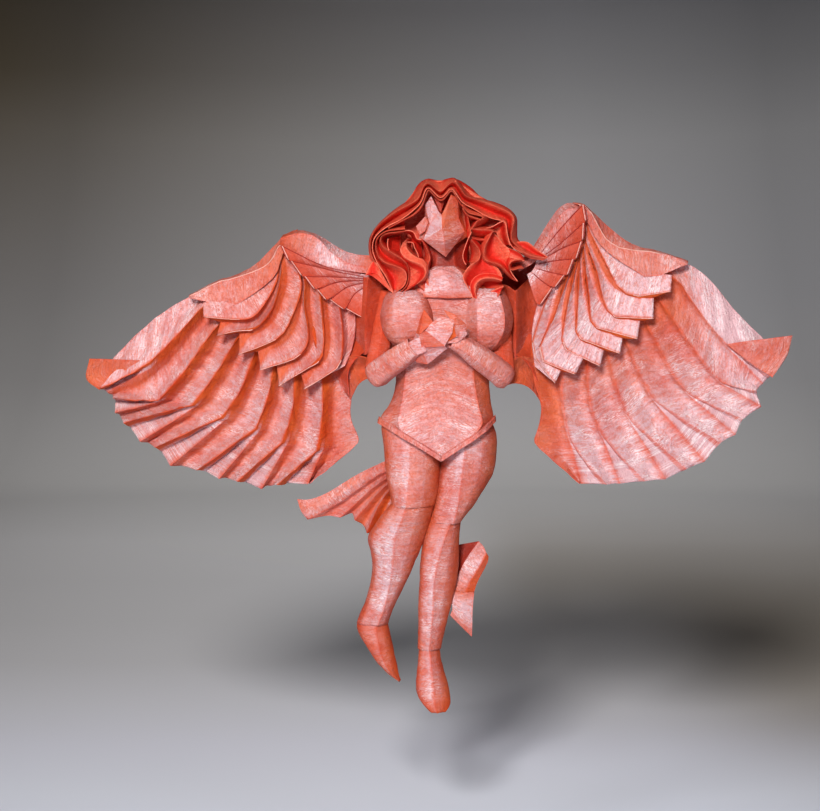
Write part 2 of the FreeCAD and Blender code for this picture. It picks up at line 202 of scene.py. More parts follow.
def pleat(lines: tuple, rows: int, rounding: int) -> list[Fold]:
    """Folds that turn out and in by turns: crisp ridges with soft valleys between them.

    Args:
        lines: the corners of each fold, the first of them a ridge.
        rows: number of points along each.
        rounding: passes of smoothing that round the corners.

    Returns:
        The folds.
    """
    kinds = (Crease.CRISP, Crease.SOFT)
    return [Fold(line_of(list(line), rows, rounding), kinds[count % 2]) for count, line in enumerate(lines)]


@dataclass
class Sheet:
    """Paper stretched over fold lines that lie side by side."""

    name: str
    folds: list[Fold]
    material: bpy.types.Material
    closed: bool = False
    grain: float = GRAIN
    thickness: float = 0.32             # doubled paper, in millimetres
    crumpled: float = 0.10              # height of the small handling marks
    broad: float = 0.22                 # height of the large ones
    sign: float = 1.0                   # -1 turns the faces round
    crossed: float = 0.0                # height of the faint folds across the pleats
    pearl_and_sheen: tuple[float, ...] = (1.0,)     # pearl along the sheet, which also paints where sheen and shade fall
    kink: float = 0.0                   # share of the length at which tips begin, or 0 for none

    def slopes(self, index: int) -> tuple[np.ndarray, np.ndarray]:
        """Direction in which the paper leaves a soft fold, per millimetre.

        Args:
            index: which fold.

        Returns:
            The direction at each row, and the distance to the next fold.
        """
        lines = [fold.line for fold in self.folds]
        count = len(lines)
        before = lines[(index - 1) % count]
        here = lines[index]
        after = lines[(index + 1) % count]
        gap_before = np.linalg.norm(here - before, axis=1, keepdims=True) + 1e-6
        gap_after = np.linalg.norm(after - here, axis=1, keepdims=True) + 1e-6
        rate_before = (here - before) / gap_before
        rate_after = (after - here) / gap_after
        return ((rate_before * gap_after + rate_after * gap_before) / (gap_before + gap_after)), gap_after

    def columns(self) -> tuple[np.ndarray, list[float], list[float], list[tuple[float, float]]]:
        """Mesh lines across the whole sheet.

        Returns:
            Array of columns by rows by 3, the share of its length from which each column is
            crisp, how strongly its ridge line of painted shade shows, and how much pearl is on it
            near the root and near the tip; the pearl also paints sheen and shade.
        """
        made, crisp, near, pearl = [], [], [], []
        roots = [fold.root or (fold.pearl, fold.beyond) for fold in self.folds]
        count = len(self.folds)
        spans = count if self.closed else count - 1
        for index in range(spans):
            here = self.folds[index]
            after = self.folds[(index + 1) % count]
            chord = after.line - here.line
            gap = np.linalg.norm(chord, axis=1, keepdims=True)
            leave, arrive = chord, chord
            inner = self.closed or 0 < index
            if here.kind is Crease.SOFT and inner:
                leave = self.slopes(index)[0] * gap
            outer = self.closed or index + 2 < count
            if after.kind is Crease.SOFT and outer:
                arrive = self.slopes((index + 1) % count)[0] * gap
            steps = max(2, int(round(float(gap.mean()) / self.grain)))
            for step in range(steps):
                s = step / steps
                blend = (
                    (2 * s**3 - 3 * s**2 + 1) * here.line + (s**3 - 2 * s**2 + s) * leave
                    + (-2 * s**3 + 3 * s**2) * after.line + (s**3 - s**2) * arrive
                )
                made.append(blend)
                pressed = step == 0 and here.kind is Crease.CRISP
                crisp.append(here.starts if pressed else NEVER)
                near.append(here.ridge_shaded if pressed else 0.0)
                share = float(ease(0.0, 0.5, np.array(s)))
                leaves, reaches = roots[index][1], roots[(index + 1) % count][0]
                pearl.append((leaves + (reaches - leaves) * share,
                              here.beyond + (after.pearl - here.beyond) * share))
        if not self.closed:
            made.append(self.folds[-1].line)
            crisp.append(0.0)
            near.append(1.0)
            pearl.append((roots[-1][0], self.folds[-1].pearl))
        return np.array(made), crisp, near, pearl

    def cross_folds(self, grid: np.ndarray, near: list[float], seed: float) -> np.ndarray:
        """Heights of the faint folds that cross the pleats, left from folding them together.

        Args:
            grid: columns by rows by 3, in millimetres.
            near: how strongly each column's ridge line of painted shade shows, which is nought away from a
                pressed ridge.
            seed: shifts the pattern.

        Returns:
            A height in millimetres for each point.
        """
        down = np.linalg.norm(np.diff(grid, axis=1), axis=2).mean(axis=0)
        down = np.concatenate([[0.0], np.cumsum(down)])
        slant = np.array([noise.noise(Vector(spot) / SLANT_PITCH + Vector((seed, 0, seed)))
                          for spot in grid.reshape(-1, 3)])
        phase = np.tile(down, len(grid)) / CROSS_PITCH + slant * SLANT
        wave = 2 * np.abs(2 * (phase - np.floor(phase)) - 1) - 1
        held = np.repeat(1 - 0.6 * np.array(near), grid.shape[1])
        return self.crossed * wave * held

    def build(self, seed: float) -> bpy.types.Object:
        """Make the sheet's mesh, thicken it and dress it.

        Args:
            seed: shifts the crumple pattern.

        Returns:
            The finished object, riding on the part.
        """
        grid, crisp, near, pearl = self.columns()
        wide, rows = grid.shape[:2]
        around = np.roll(grid, -1, axis=0) - grid if self.closed else np.gradient(grid, axis=0)
        normals = np.cross(around, np.gradient(grid, axis=1))
        normals /= np.linalg.norm(normals, axis=2, keepdims=True) + 1e-9
        flat = grid.reshape(-1, 3)
        turned = normals.reshape(-1, 3)
        if self.crumpled or self.broad:
            heights = np.array([
                self.crumpled * crumple(spot, seed, SMALL_CRUMPLE)
                + self.broad * crumple(spot, seed + 9, LARGE_CRUMPLE)
                for spot in flat
            ])
            flat = flat + turned * heights[:, None]
        if self.crossed:
            flat = flat + turned * self.cross_folds(grid, near, seed)[:, None]
        index = np.arange(wide * rows).reshape(wide, rows)
        right = np.roll(index, -1, axis=0) if self.closed else index[1:]
        left = index if self.closed else index[:-1]
        quads = np.stack([left[:, :-1], right[:, :-1], right[:, 1:], left[:, 1:]], axis=-1).reshape(-1, 4)
        if self.sign < 0:
            quads = quads[:, ::-1]
        places, quads, shown = self.press(flat.reshape(wide, rows, 3), around, quads)
        extra = len(places) - wide
        mesh = bpy.data.meshes.new(self.name)
        mesh.from_pydata(((places.reshape(-1, 3) - np.array(TOE)) * MM).tolist(), [], quads.tolist())
        mesh.shade_smooth()
        self.mark(mesh, crisp + [NEVER] * extra, near + [0.0] * extra, pearl + [(1.0, 1.0)] * extra,
                  places, shown)
        return finish_piece(self.name, mesh, self.material, self.thickness)

    def press(self, places: np.ndarray, around: np.ndarray, quads: np.ndarray
              ) -> tuple[np.ndarray, np.ndarray, np.ndarray]:
        """Add a narrow raised strip along every fold whose edge shows as a line: pale as painted highlight,
        or dark as painted shade in a gap.

        Args:
            places: columns by rows by 3, in millimetres.
            around: direction across the sheet at each point.
            quads: the sheet's faces.

        Returns:
            The places and faces with the strips, and the painted highlight or shade that shows on each
            column.
        """
        wide, rows = places.shape[:2]
        shown = [0.0] * wide
        strips, faces = [places], [quads]
        at = 0
        spans = len(self.folds) if self.closed else len(self.folds) - 1
        for number, fold in enumerate(self.folds):
            if fold.pressed is not Pressed.PLAIN:
                across = around[at] / (np.linalg.norm(around[at], axis=1, keepdims=True) + 1e-9)
                low, high = (int(round(part * (rows - 1))) for part in fold.span)
                centre = places[at] + np.array([0.0, -PRESSED_RISE, 0.0])
                pair = np.stack([centre - across * PRESSED_WIDTH / 2, centre + across * PRESSED_WIDTH / 2])
                start = sum(len(strip) for strip in strips) * rows
                first = np.arange(start + low, start + high)
                faces.append(np.stack([first, first + rows, first + rows + 1, first + 1], axis=-1))
                pair[:, :low], pair[:, high + 1:] = pair[:, low:low + 1], pair[:, high:high + 1]
                strips.append(pair)
                shown += [fold.pressed.value] * 2
            if number < spans:
                gap = np.linalg.norm(self.folds[(number + 1) % len(self.folds)].line - fold.line,
                                     axis=1).mean()
                at += max(2, int(round(float(gap) / self.grain)))
        return np.concatenate(strips), np.concatenate(faces), np.array(shown)

    def mark(self, mesh: bpy.types.Mesh, crisp: list[float], near: list[float],
             pearl: list[tuple[float, float]],
             grid: np.ndarray, shown: np.ndarray) -> None:
        """Write the crisp edges, the ridge lines of painted shade, the pearl that also paints sheen and
        shade, and the paper's own coordinates to the mesh.

        Args:
            mesh: the sheet's mesh.
            crisp: share of its length from which each column is a crisp fold.
            near: how strongly each column's ridge line of painted shade shows.
            pearl: pearl on each column, near the root and near the tip, which also paints sheen and shade.
            grid: columns by rows by 3, in millimetres.
            shown: the painted highlight of a pale edge or the painted shade of a dark gap on each column.
        """
        rows = grid.shape[1]
        # Pale edges as painted highlight and dark gaps as painted shade.
        edge = mesh.attributes.new("pressed", "FLOAT", "POINT")
        edge.data.foreach_set("value", np.repeat(shown, rows).astype(np.float32))
        starts = np.array(crisp)
        pairs = np.empty(len(mesh.edges) * 2, dtype=np.int64)
        mesh.edges.foreach_get("vertices", pairs)
        column, row = np.divmod(pairs.reshape(-1, 2), rows)
        sharp = (column[:, 0] == column[:, 1]) & (row.min(axis=1) / (rows - 1) >= starts[column[:, 0]])
        flag = mesh.attributes.new("sharp_edge", "BOOLEAN", "EDGE")
        flag.data.foreach_set("value", sharp)
        # The ridge line of each crisp fold: painted shade of its steep side, or on the hair a painted
        # highlight rim.
        ridge_shading = mesh.attributes.new("ridge_line_shading", "FLOAT", "POINT")
        down_share = np.linspace(0.0, 1.0, rows)
        ridge_shading_rows = np.array(near)[:, None] * (down_share[None, :] >= starts[:, None] - 1e-6)
        ridge_shading.data.foreach_set("value", ridge_shading_rows.astype(np.float32).ravel())
        # Pearl at each point, which also paints sheen where high and shade where low.
        cover = mesh.attributes.new("pearl_and_sheen", "FLOAT", "POINT")
        stations = np.interp(down_share, np.linspace(0.0, 1.0, len(self.pearl_and_sheen)), self.pearl_and_sheen)
        tipward = ease(self.kink - KINK_EASE, self.kink + KINK_EASE,
                       down_share) if self.kink else np.ones(rows)
        level = np.array(pearl) @ np.stack([1 - tipward, tipward])
        cover.data.foreach_set("value", (level * stations).astype(np.float32).ravel())
        across = np.linalg.norm(np.diff(grid[:, rows // 2], axis=0), axis=1)
        across = np.concatenate([[0.0], np.cumsum(across)])
        down = np.linalg.norm(np.diff(grid, axis=1), axis=2).mean(axis=0)
        down = np.concatenate([[0.0], np.cumsum(down)])
        corner = np.empty(len(mesh.loops), dtype=np.int64)
        mesh.loops.foreach_get("vertex_index", corner)
        layer = mesh.uv_layers.new(name="paper")
        spots = np.stack([across[corner // rows], down[corner % rows]], axis=1)
        layer.data.foreach_set("uv", spots.astype(np.float32).ravel())


@dataclass(frozen=True)
class Facets:
    """Paper folded to flat facets between named corners."""

    name: str
    corners: dict[str, Point3]
    faces: tuple[str, ...]
    cuts: int = 6
    thickness: float = 0.32
    crumpled: float = 0.05
    tones: tuple[float, ...] = ()       # pearl on each face, which also paints the facet's highlight or shade

    def build(self, material: bpy.types.Material, seed: float) -> bpy.types.Object:
        """Make the facets, divide them finely and dress them.

        Args:
            material: the paper.
            seed: shifts the crumple pattern.

        Returns:
            The finished object, riding on the part.
        """
        shape = bmesh.new()
        spots = {key: shape.verts.new(place) for key, place in self.corners.items()}
        pearl = shape.loops.layers.float.new("pearl_and_sheen")
        for face, tone in zip(self.faces, self.tones or [PLAIN_TONE] * len(self.faces)):
            for loop in shape.faces.new([spots[key] for key in face.split()]).loops:
                loop[pearl] = tone
        bmesh.ops.triangulate(shape, faces=shape.faces[:])
        folds = {edge for edge in shape.edges if edge.is_boundary or edge.calc_face_angle(0.0) > FOLD_ANGLE}
        # Fold seams get a ridge line of painted shade.
        ridge_shading = shape.verts.layers.float.new("ridge_line_shading")
        for edge in folds:
            edge.smooth = False
            edge.seam = True
        bmesh.ops.subdivide_edges(shape, edges=shape.edges[:], cuts=self.cuts, use_grid_fill=True)
        for vert in shape.verts:
            vert[ridge_shading] = 1.0 if any(edge.seam for edge in vert.link_edges) else 0.0
        shape.normal_update()
        for vert in shape.verts:
            spot = np.array(vert.co)
            height = self.crumpled * sum(crumple(spot, seed + 5 * count, size)
                                         for count, size in enumerate(FACET_CRUMPLE))
            vert.co += vert.normal * height
        for vert in shape.verts:
            vert.co = (vert.co - Vector(TOE)) * MM
        mesh = bpy.data.meshes.new(self.name)
        layer = shape.loops.layers.uv.new("paper")
        for face in shape.faces:
            face.smooth = True
            for loop in face.loops:
                loop[layer].uv = (loop.vert.co.x / MM, loop.vert.co.z / MM)
        shape.to_mesh(mesh)
        shape.free()
        return finish_piece(self.name, mesh, material, self.thickness)


def finish_piece(name: str, mesh: bpy.types.Mesh, material: bpy.types.Material,
                 thickness: float) -> bpy.types.Object:
    """Put a mesh in the scene as paper of a given thickness.

    Args:
        name: the piece's name.
        mesh: its surface, in metres.
        material: what it is made of.
        thickness: thickness of the paper in millimetres.

    Returns:
        The object, riding on the part and standing for its node.
    """
    piece = bpy.data.objects.new(name, mesh)
    bpy.context.scene.collection.objects.link(piece)
    mesh.materials.append(material)
    if thickness:
        solid = piece.modifiers.new("paper_thickness", "SOLIDIFY")
        solid.thickness = thickness * MM
        solid.offset = 0.0
    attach(piece, BODY)
    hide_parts(NODE)
    LOG.info("%s: %d faces", name, len(mesh.polygons))
    return piece


# ---- Wings ----------------------------------------------------------------------------------
@dataclass(frozen=True)
class Plume:
    """A long feather's front ridge, as seen from the front, and the small fold at its tip."""

    body: tuple[Point2, ...]
    tip: tuple[Point2, ...]
    second: tuple[Point2, Point2] | None = None


@dataclass(frozen=True)
class Covert:
    """A short feather's front ridge from the wrist outwards, and the corner above its end."""

    ridge: tuple[Point2, ...]
    corner: Point2


@dataclass
class Wing:
    """One wing: pleated long feathers, short feathers over them, and a folded leading band."""

    name: str
    side: int                           # -1 for the viewer's left, 1 for the right
    wrist: Point2                       # where every feather starts
    shoulder: float                     # how far along X the wing joins the body
    outline: tuple[Point2, ...]
    plumes: tuple[Plume, ...]
    inner: Plume
    coverts: tuple[Covert, ...]
    cover_top: tuple[Point2, ...]
    cover_inner: tuple[Point2, ...]
    flap: tuple[tuple[Point2, ...], ...]
    outer_band: tuple[tuple[Point2, ...], ...]
    inner_band: tuple[tuple[Point2, ...], ...]
    fan: tuple[tuple[Point2, ...], ...]
    fan_ends: tuple[tuple[Point2, Point2], ...]
    back: float = 4.0                   # how far back the wing lies at the shoulder
    sweep: float = 0.12                 # how steeply it runs back from there
    depth: float = 3.0                  # how far a long feather's ridge stands out
    cover_depth: float = 2.2            # the same for a short feather
    steep: float = 0.40                 # share of a pleat that its steep side takes
    cover_swell: tuple[float, ...] = (0.3, 1.0, 1.0, 1.0, 0.9)          # depth along a short feather
    cover_steep: tuple[float, ...] = (0.3, 0.36, 0.36, 0.36)            # its steep side's share
    cover_rounding: int = 1
    cover_kind: Crease = Crease.SOFT
    # Pearl past each short feather's valley; on every flap, high pearl also paints sheen and low pearl
    # shade.
    cover_pearl: float = 0.5
    cover_hook: tuple[float, float] = (0.89, 0.08)      # where a valley hooks to its end, and how short
    bare: float = 0.0                   # pearl in the valleys, low as painted shade
    near_body: float = 0.6              # share of the pearl on the last feather, less of it painting the shade nearest the body
    crossed: float = 0.42               # height of the faint folds across the pleats
    cover_inset: float = 0.08
    band_highlight: float = 1.0              # share of the leading band whose pale edge is a painted highlight
    # Pearl on the leading rim, and along the short feathers, bands and tip flap, which also paints sheen
    # and shade.
    rim_pearl: float = 1.2
    pearl_and_sheen_cover: tuple[float, ...] = (0.5, 0.6, 0.8, 0.9)
    pearl_and_sheen_outer: tuple[float, ...] = (0.2, 0.3, 0.5, 0.6)
    pearl_and_sheen_inner: tuple[float, ...] = (0.2, 0.4, 1.4, 1.2, 0.3, 0.2)
    pearl_and_sheen_flap: tuple[float, ...] = (0.3, 0.2, 0.1)
    rows: int = 96
    turn: float = 0.71                  # share of a feather at which its tip begins
    cupped: float = 3.0                 # how far the wing curves forward
    outer_rises: tuple[Point2, ...] = ((2.0, 1.0), (5.4, 3.6), (4.6, 5.2))      # each band's folds, how far
    inner_rises: tuple[Point2, ...] = ((1.5, 1.0), (6.2, 5.0), (5.2, 5.4))      # they come forward at their
    flap_rises: tuple[Point2, ...] = ((1.6, 4.6), (1.9, 2.0), (2.1, 2.2))       # start and at their end
    cover_lift: tuple[float, float] = (1.5, 4.2)        # how far the short feathers lie over the long ones
    fan_forward: float = 6.6
    fan_step: float = 0.25              # how far each plate of the fan lies behind the one before
    fan_overlap: float = 1.06
    cup_reach: float = 85.0             # distance from the wrist at which the wing is cupped that much
    opens_over: float = 38.0            # distance from the wrist over which pleats open
    least_open: float = 0.12
    pearl_and_sheen: tuple[float, ...] = (1.0,)

    def place(self, flat: np.ndarray, rise: np.ndarray | float) -> np.ndarray:
        """Lift (x, z) points off the wing's own leaning plane.

        Args:
            flat: points seen from the front.
            rise: how far each comes forward.

        Returns:
            Points as (x, y, z).
        """
        reach = np.linalg.norm(flat - np.array(self.wrist), axis=1) / self.cup_reach
        lean = self.back + self.sweep * self.side * (flat[:, 0] - self.shoulder) - self.cupped * reach**2
        return np.stack([flat[:, 0], lean - rise, flat[:, 1]], axis=1)

    def opening(self, flat: np.ndarray) -> np.ndarray:
        """Share of its full depth that a pleat has at each point, from none at the wrist."""
        reach = np.linalg.norm(flat - np.array(self.wrist), axis=1)
        return np.clip(reach / self.opens_over, self.least_open, 1.0)

    @staticmethod
    def bent(line: np.ndarray, end: np.ndarray, share: np.ndarray, kink: float,
             tipward: np.ndarray) -> np.ndarray:
        """A line as far as the kink, and from there straight to an end.

        Args:
            line: the line, as (x, z) points.
            end: where it is to end.
            share: each point's share of the length.
            kink: the share at which it bends.
            tipward: each point's share of the way from the kink to the end.

        Returns:
            The bent line.
        """
        start = line[int(np.searchsorted(share, kink - 1e-9))]
        return np.where(share[:, None] <= kink, line, start + (end - start) * tipward[:, None])

    def long_feathers(self, material: bpy.types.Material) -> Sheet:
        """The large pleated sheet.

        Args:
            material: the paper.

        Returns:
            The sheet, from the leading edge to the edge nearest the body.
        """
        rows, turn = self.rows, self.turn
        share = np.linspace(0.0, 1.0, rows)
        tipward = np.clip((share - turn) / (1 - turn), 0.0, 1.0)
        plumes = list(self.plumes) + [self.inner]
        ridges = [two_part_line(list(plume.body), [plume.body[-1], *plume.tip], rows,
                                turn) for plume in plumes]
        edge = line_of(list(self.outline), rows, 2)
        middle = edge * 0.45 + ridges[0] * 0.55
        deep, plain = self.depth, (self.bare, self.bare)
        folds = [
            Fold(self.place(edge, self.opening(edge) * -0.6), beyond=self.rim_pearl),
            Fold(self.place(middle, self.opening(middle) * (0.9 + 0.3 * np.sin(share * 9))), Crease.SOFT,
                 pearl=self.rim_pearl, beyond=self.rim_pearl),
            Fold(self.place(ridges[0], self.opening(ridges[0]) * deep), pearl=self.rim_pearl,
                 beyond=self.bare),
        ]
        for count in range(len(plumes) - 1):
            here, after = ridges[count], ridges[count + 1]
            gap = after - here
            second = plumes[count].second
            kink = int(round(rows * turn)) - 1
            upper = here + gap * self.steep * 0.4
            end = np.array(second[1]) if second is not None else here[-1] + gap[-1] * 0.5
            low = self.bent(upper, end, share, share[kink], tipward)
            wedge_end = here[-1] + (end - here[-1]) * 0.3
            wedge = self.bent(here + gap * self.steep * 0.2, wedge_end, share, share[kink], tipward)
            tip_share = 0.34 if second is not None else 0.45
            blend = ease(0.0, 0.35, tipward)[:, None]
            tipped = low * (1 - tip_share) + after * tip_share
            soft = (here + gap * self.steep) * (1 - blend) + tipped * blend
            open_here = self.opening(here) * deep
            wedge_rise = open_here * (0.6 - 1.4 * ease(0.0, 0.5, tipward))
            low_rise = open_here * (0.2 + (0.5 if second is not None else -0.4) * ease(0.0, 0.6, tipward))
            # The wedge's far face takes thick pearl as painted highlight; the steep side and the soft
            # valley take little, as painted shade.
            folds += [
                Fold(self.place(wedge, wedge_rise), starts=turn, ridge_shaded=0.0, pearl=self.bare, beyond=1.6,
                     root=plain),
                Fold(self.place(low, low_rise), starts=turn, pearl=1.6, beyond=0.3, root=plain),
                Fold(self.place(soft, -open_here * 0.8), Crease.SOFT, pearl=0.15 + self.bare,
                     beyond=0.4 + self.bare),
            ]
            rise = deep if count + 2 < len(plumes) else 0.4
            folds.append(Fold(self.place(after, self.opening(after) * rise), beyond=self.bare))
        # Pearl fades over the last feather, nearest the body, as painted shade.
        for fold, left in zip(folds[-5:], np.linspace(1.0, self.near_body, 5)):
            fold.pearl, fold.beyond = fold.pearl * left, fold.beyond * left
        return Sheet(f"{self.name}_long_feathers", folds, material, grain=0.85, crossed=self.crossed,
                     pearl_and_sheen=self.pearl_and_sheen, kink=turn)

    def short_feathers(self, material: bpy.types.Material) -> Sheet:
        """The covering sheet of short feathers with angular folded ends.

        Args:
            material: the paper.

        Returns:
            The sheet, from the leading band to the edge nearest the body.
        """
        rows = 72
        share = np.linspace(0.0, 1.0, rows)
        lift = self.cover_lift[0] + self.cover_lift[1] * share
        inner_side = np.interp(share, np.linspace(0.0, 1.0, len(self.cover_steep)), self.cover_steep)[:,
                                                                                                      None]
        deep = self.cover_depth * np.interp(share, np.linspace(0.0, 1.0, len(self.cover_swell)),
                                            self.cover_swell)
        top = line_of([*self.cover_top, self.coverts[0].corner], rows, 1)
        folds = [Fold(self.place(top, lift - 0.5))]
        before = None
        for covert in self.coverts:
            ridge = line_of(list(covert.ridge), rows, self.cover_rounding)
            size = np.clip(self.opening(ridge) * 1.6, 0.2, 1.0) * deep
            if before is not None:
                corner = np.array(covert.corner)
                near = int(np.argmin(np.linalg.norm(before - corner, axis=1)))
                cut = line_of([tuple(spot) for spot in before[: near + 1]], rows, 0)
                upper = cut + (ridge - cut) * self.cover_inset
                upper = upper + (corner - upper[-1]) * ease(0.72, 1.0, share)[:, None]
                valley = cut + (ridge - cut) * inner_side
                starts, short = self.cover_hook
                inset = ridge[-1] + (upper[-1] - ridge[-1]) * short
                valley = valley + (inset - valley[-1]) * ease(starts, 1.0, share)[:, None]
                # Each upper fold leaves bare paper as painted shade under the feather above.
                folds += [
                    Fold(self.place(upper, lift + size * (0.5 - 1.0 * share)), starts=0.75, pearl=0.0,
                         beyond=0.1),
                    Fold(self.place(valley, lift - size * (0.9 - 1.2 * ease(0.8, 1.0, share))),
                         self.cover_kind,
                         pearl=0.1, beyond=self.cover_pearl),
                ]
            # The end of each ridge shows a pale edge as painted highlight.
            folds.append(Fold(self.place(ridge, lift + size), beyond=0.0, pressed=Pressed.PALE_HIGHLIGHT,
                              span=(0.72, 1.0)))
            before = ridge
        edge = line_of(list(self.cover_inner), rows, 1)
        folds += [
            Fold(self.place(before * 0.6 + edge * 0.4, lift - deep), Crease.SOFT),
            Fold(self.place(edge, lift - 1.0)),
        ]
        return Sheet(f"{self.name}_short_feathers", folds, material, grain=FINE, pearl_and_sheen=self.pearl_and_sheen_cover)

    def strip(self, label: str, lines: tuple, rises: tuple, kinds: tuple, rows: int,
              material: bpy.types.Material, pearl_and_sheen: tuple[float, ...]) -> Sheet:
        """A folded strip through lines of (x, z) points.

        Args:
            label: what the strip is.
            lines: one tuple of (x, z) points for each fold.
            rises: how far each fold comes forward, at its start and its end.
            kinds: how each fold turns.
            rows: points along the strip.
            material: the paper.
            pearl_and_sheen: pearl along the strip, which also paints sheen and shade.

        Returns:
            The sheet.
        """
        folds = []
        for line, rise, kind in zip(lines, rises, kinds):
            flat = line_of(list(line), rows, 1)
            folds.append(Fold(self.place(flat, np.linspace(rise[0], rise[1], rows)), kind))
        return Sheet(f"{self.name}_{label}", folds, material, grain=FINE, pearl_and_sheen=pearl_and_sheen)

    def shoulder_fan(self, material: bpy.types.Material) -> list[Sheet]:
        """Overlapping flat plates that spread from the shoulder.

        Args:
            material: the paper.

        Returns:
            One sheet for each plate.
        """
        plates = []
        edges = zip(zip(self.fan, self.fan[1:]), self.fan_ends)
        for count, ((top, low), (outer, corner)) in enumerate(edges):
            forward = self.fan_forward - self.fan_step * count
            upper = line_of([outer, *top], 30, 1)
            lower = line_of([corner, *low], 30, 1)
            lower = upper + (lower - upper) * self.fan_overlap
            # Each plate's upper edge shows a dark gap as painted shade, and its pearl grows toward the
            # shoulder as painted sheen.
            folds = [
                Fold(self.place(upper, np.linspace(forward + 0.7, 5.4, 30)), ridge_shaded=0.4, pressed=Pressed.GAP_SHADE,
                     span=(0.0, 0.9)),
                Fold(self.place(upper * 0.5 + lower * 0.5, np.linspace(forward + 0.1, 5.3, 30)),
                     Crease.SOFT),
                Fold(self.place(lower, np.linspace(forward - 0.7, 5.0, 30))),
            ]
            plates.append(Sheet(f"{self.name}_shoulder_plate_{count + 1}", folds, material, grain=FINE,
                                broad=0.1, pearl_and_sheen=(0.2, 0.5, 2.5)))
            # Each plate's end shows a pale edge of painted highlight over a dark gap of painted shade.
            ends = [line_of([outer, corner], 8),
                    line_of([outer, corner], 8) + np.array([0.5 * self.side, 0.1])]
            folds = [Fold(self.place(line, forward + np.linspace(0.9, -0.5, 8)), pressed=kind)
                     for line, kind in zip(ends, (Pressed.PALE_HIGHLIGHT, Pressed.GAP_SHADE))]
            plates.append(Sheet(f"{self.name}_shoulder_plate_end_{count + 1}", folds, material, grain=FINE,
                                broad=0.0, crumpled=0.0))
        return plates

    def build(self, papers: dict[Paper, bpy.types.Material]) -> None:
        """Make every sheet of the wing.

        Args:
            papers: the material of each paper.
        """
        material = papers[Paper.BRUSHED]
        crisp, soft = Crease.CRISP, Crease.SOFT
        seed = LEFT_WING_SEED if self.side < 0 else RIGHT_WING_SEED
        self.long_feathers(material).build(seed)
        self.short_feathers(material).build(seed + 2)
        outer = self.strip("leading_band", self.outer_band, self.outer_rises,
                           (crisp, crisp, crisp), 60, material, self.pearl_and_sheen_outer)
        # The leading band's middle fold shows a pale edge as painted highlight.
        outer.folds[1].pressed, outer.folds[1].span = Pressed.PALE_HIGHLIGHT, (0.0, self.band_highlight)
        outer.build(seed + 4)
        inner = self.strip("shoulder_band", self.inner_band, self.inner_rises,
                           (crisp, crisp, crisp), 60, material, self.pearl_and_sheen_inner)
        inner.build(seed + 6)
        flap = self.strip("tip_flap", self.flap, self.flap_rises, (crisp, soft, crisp), 30, material,
                          self.pearl_and_sheen_flap)
        flap.build(seed + 8)
        # The fan's plates take the shaded copy of the paper, as painted shade.
        for count, sheet in enumerate(self.shoulder_fan(papers[Paper.SHADED_COPY])):
            sheet.build(seed + 10 + count)


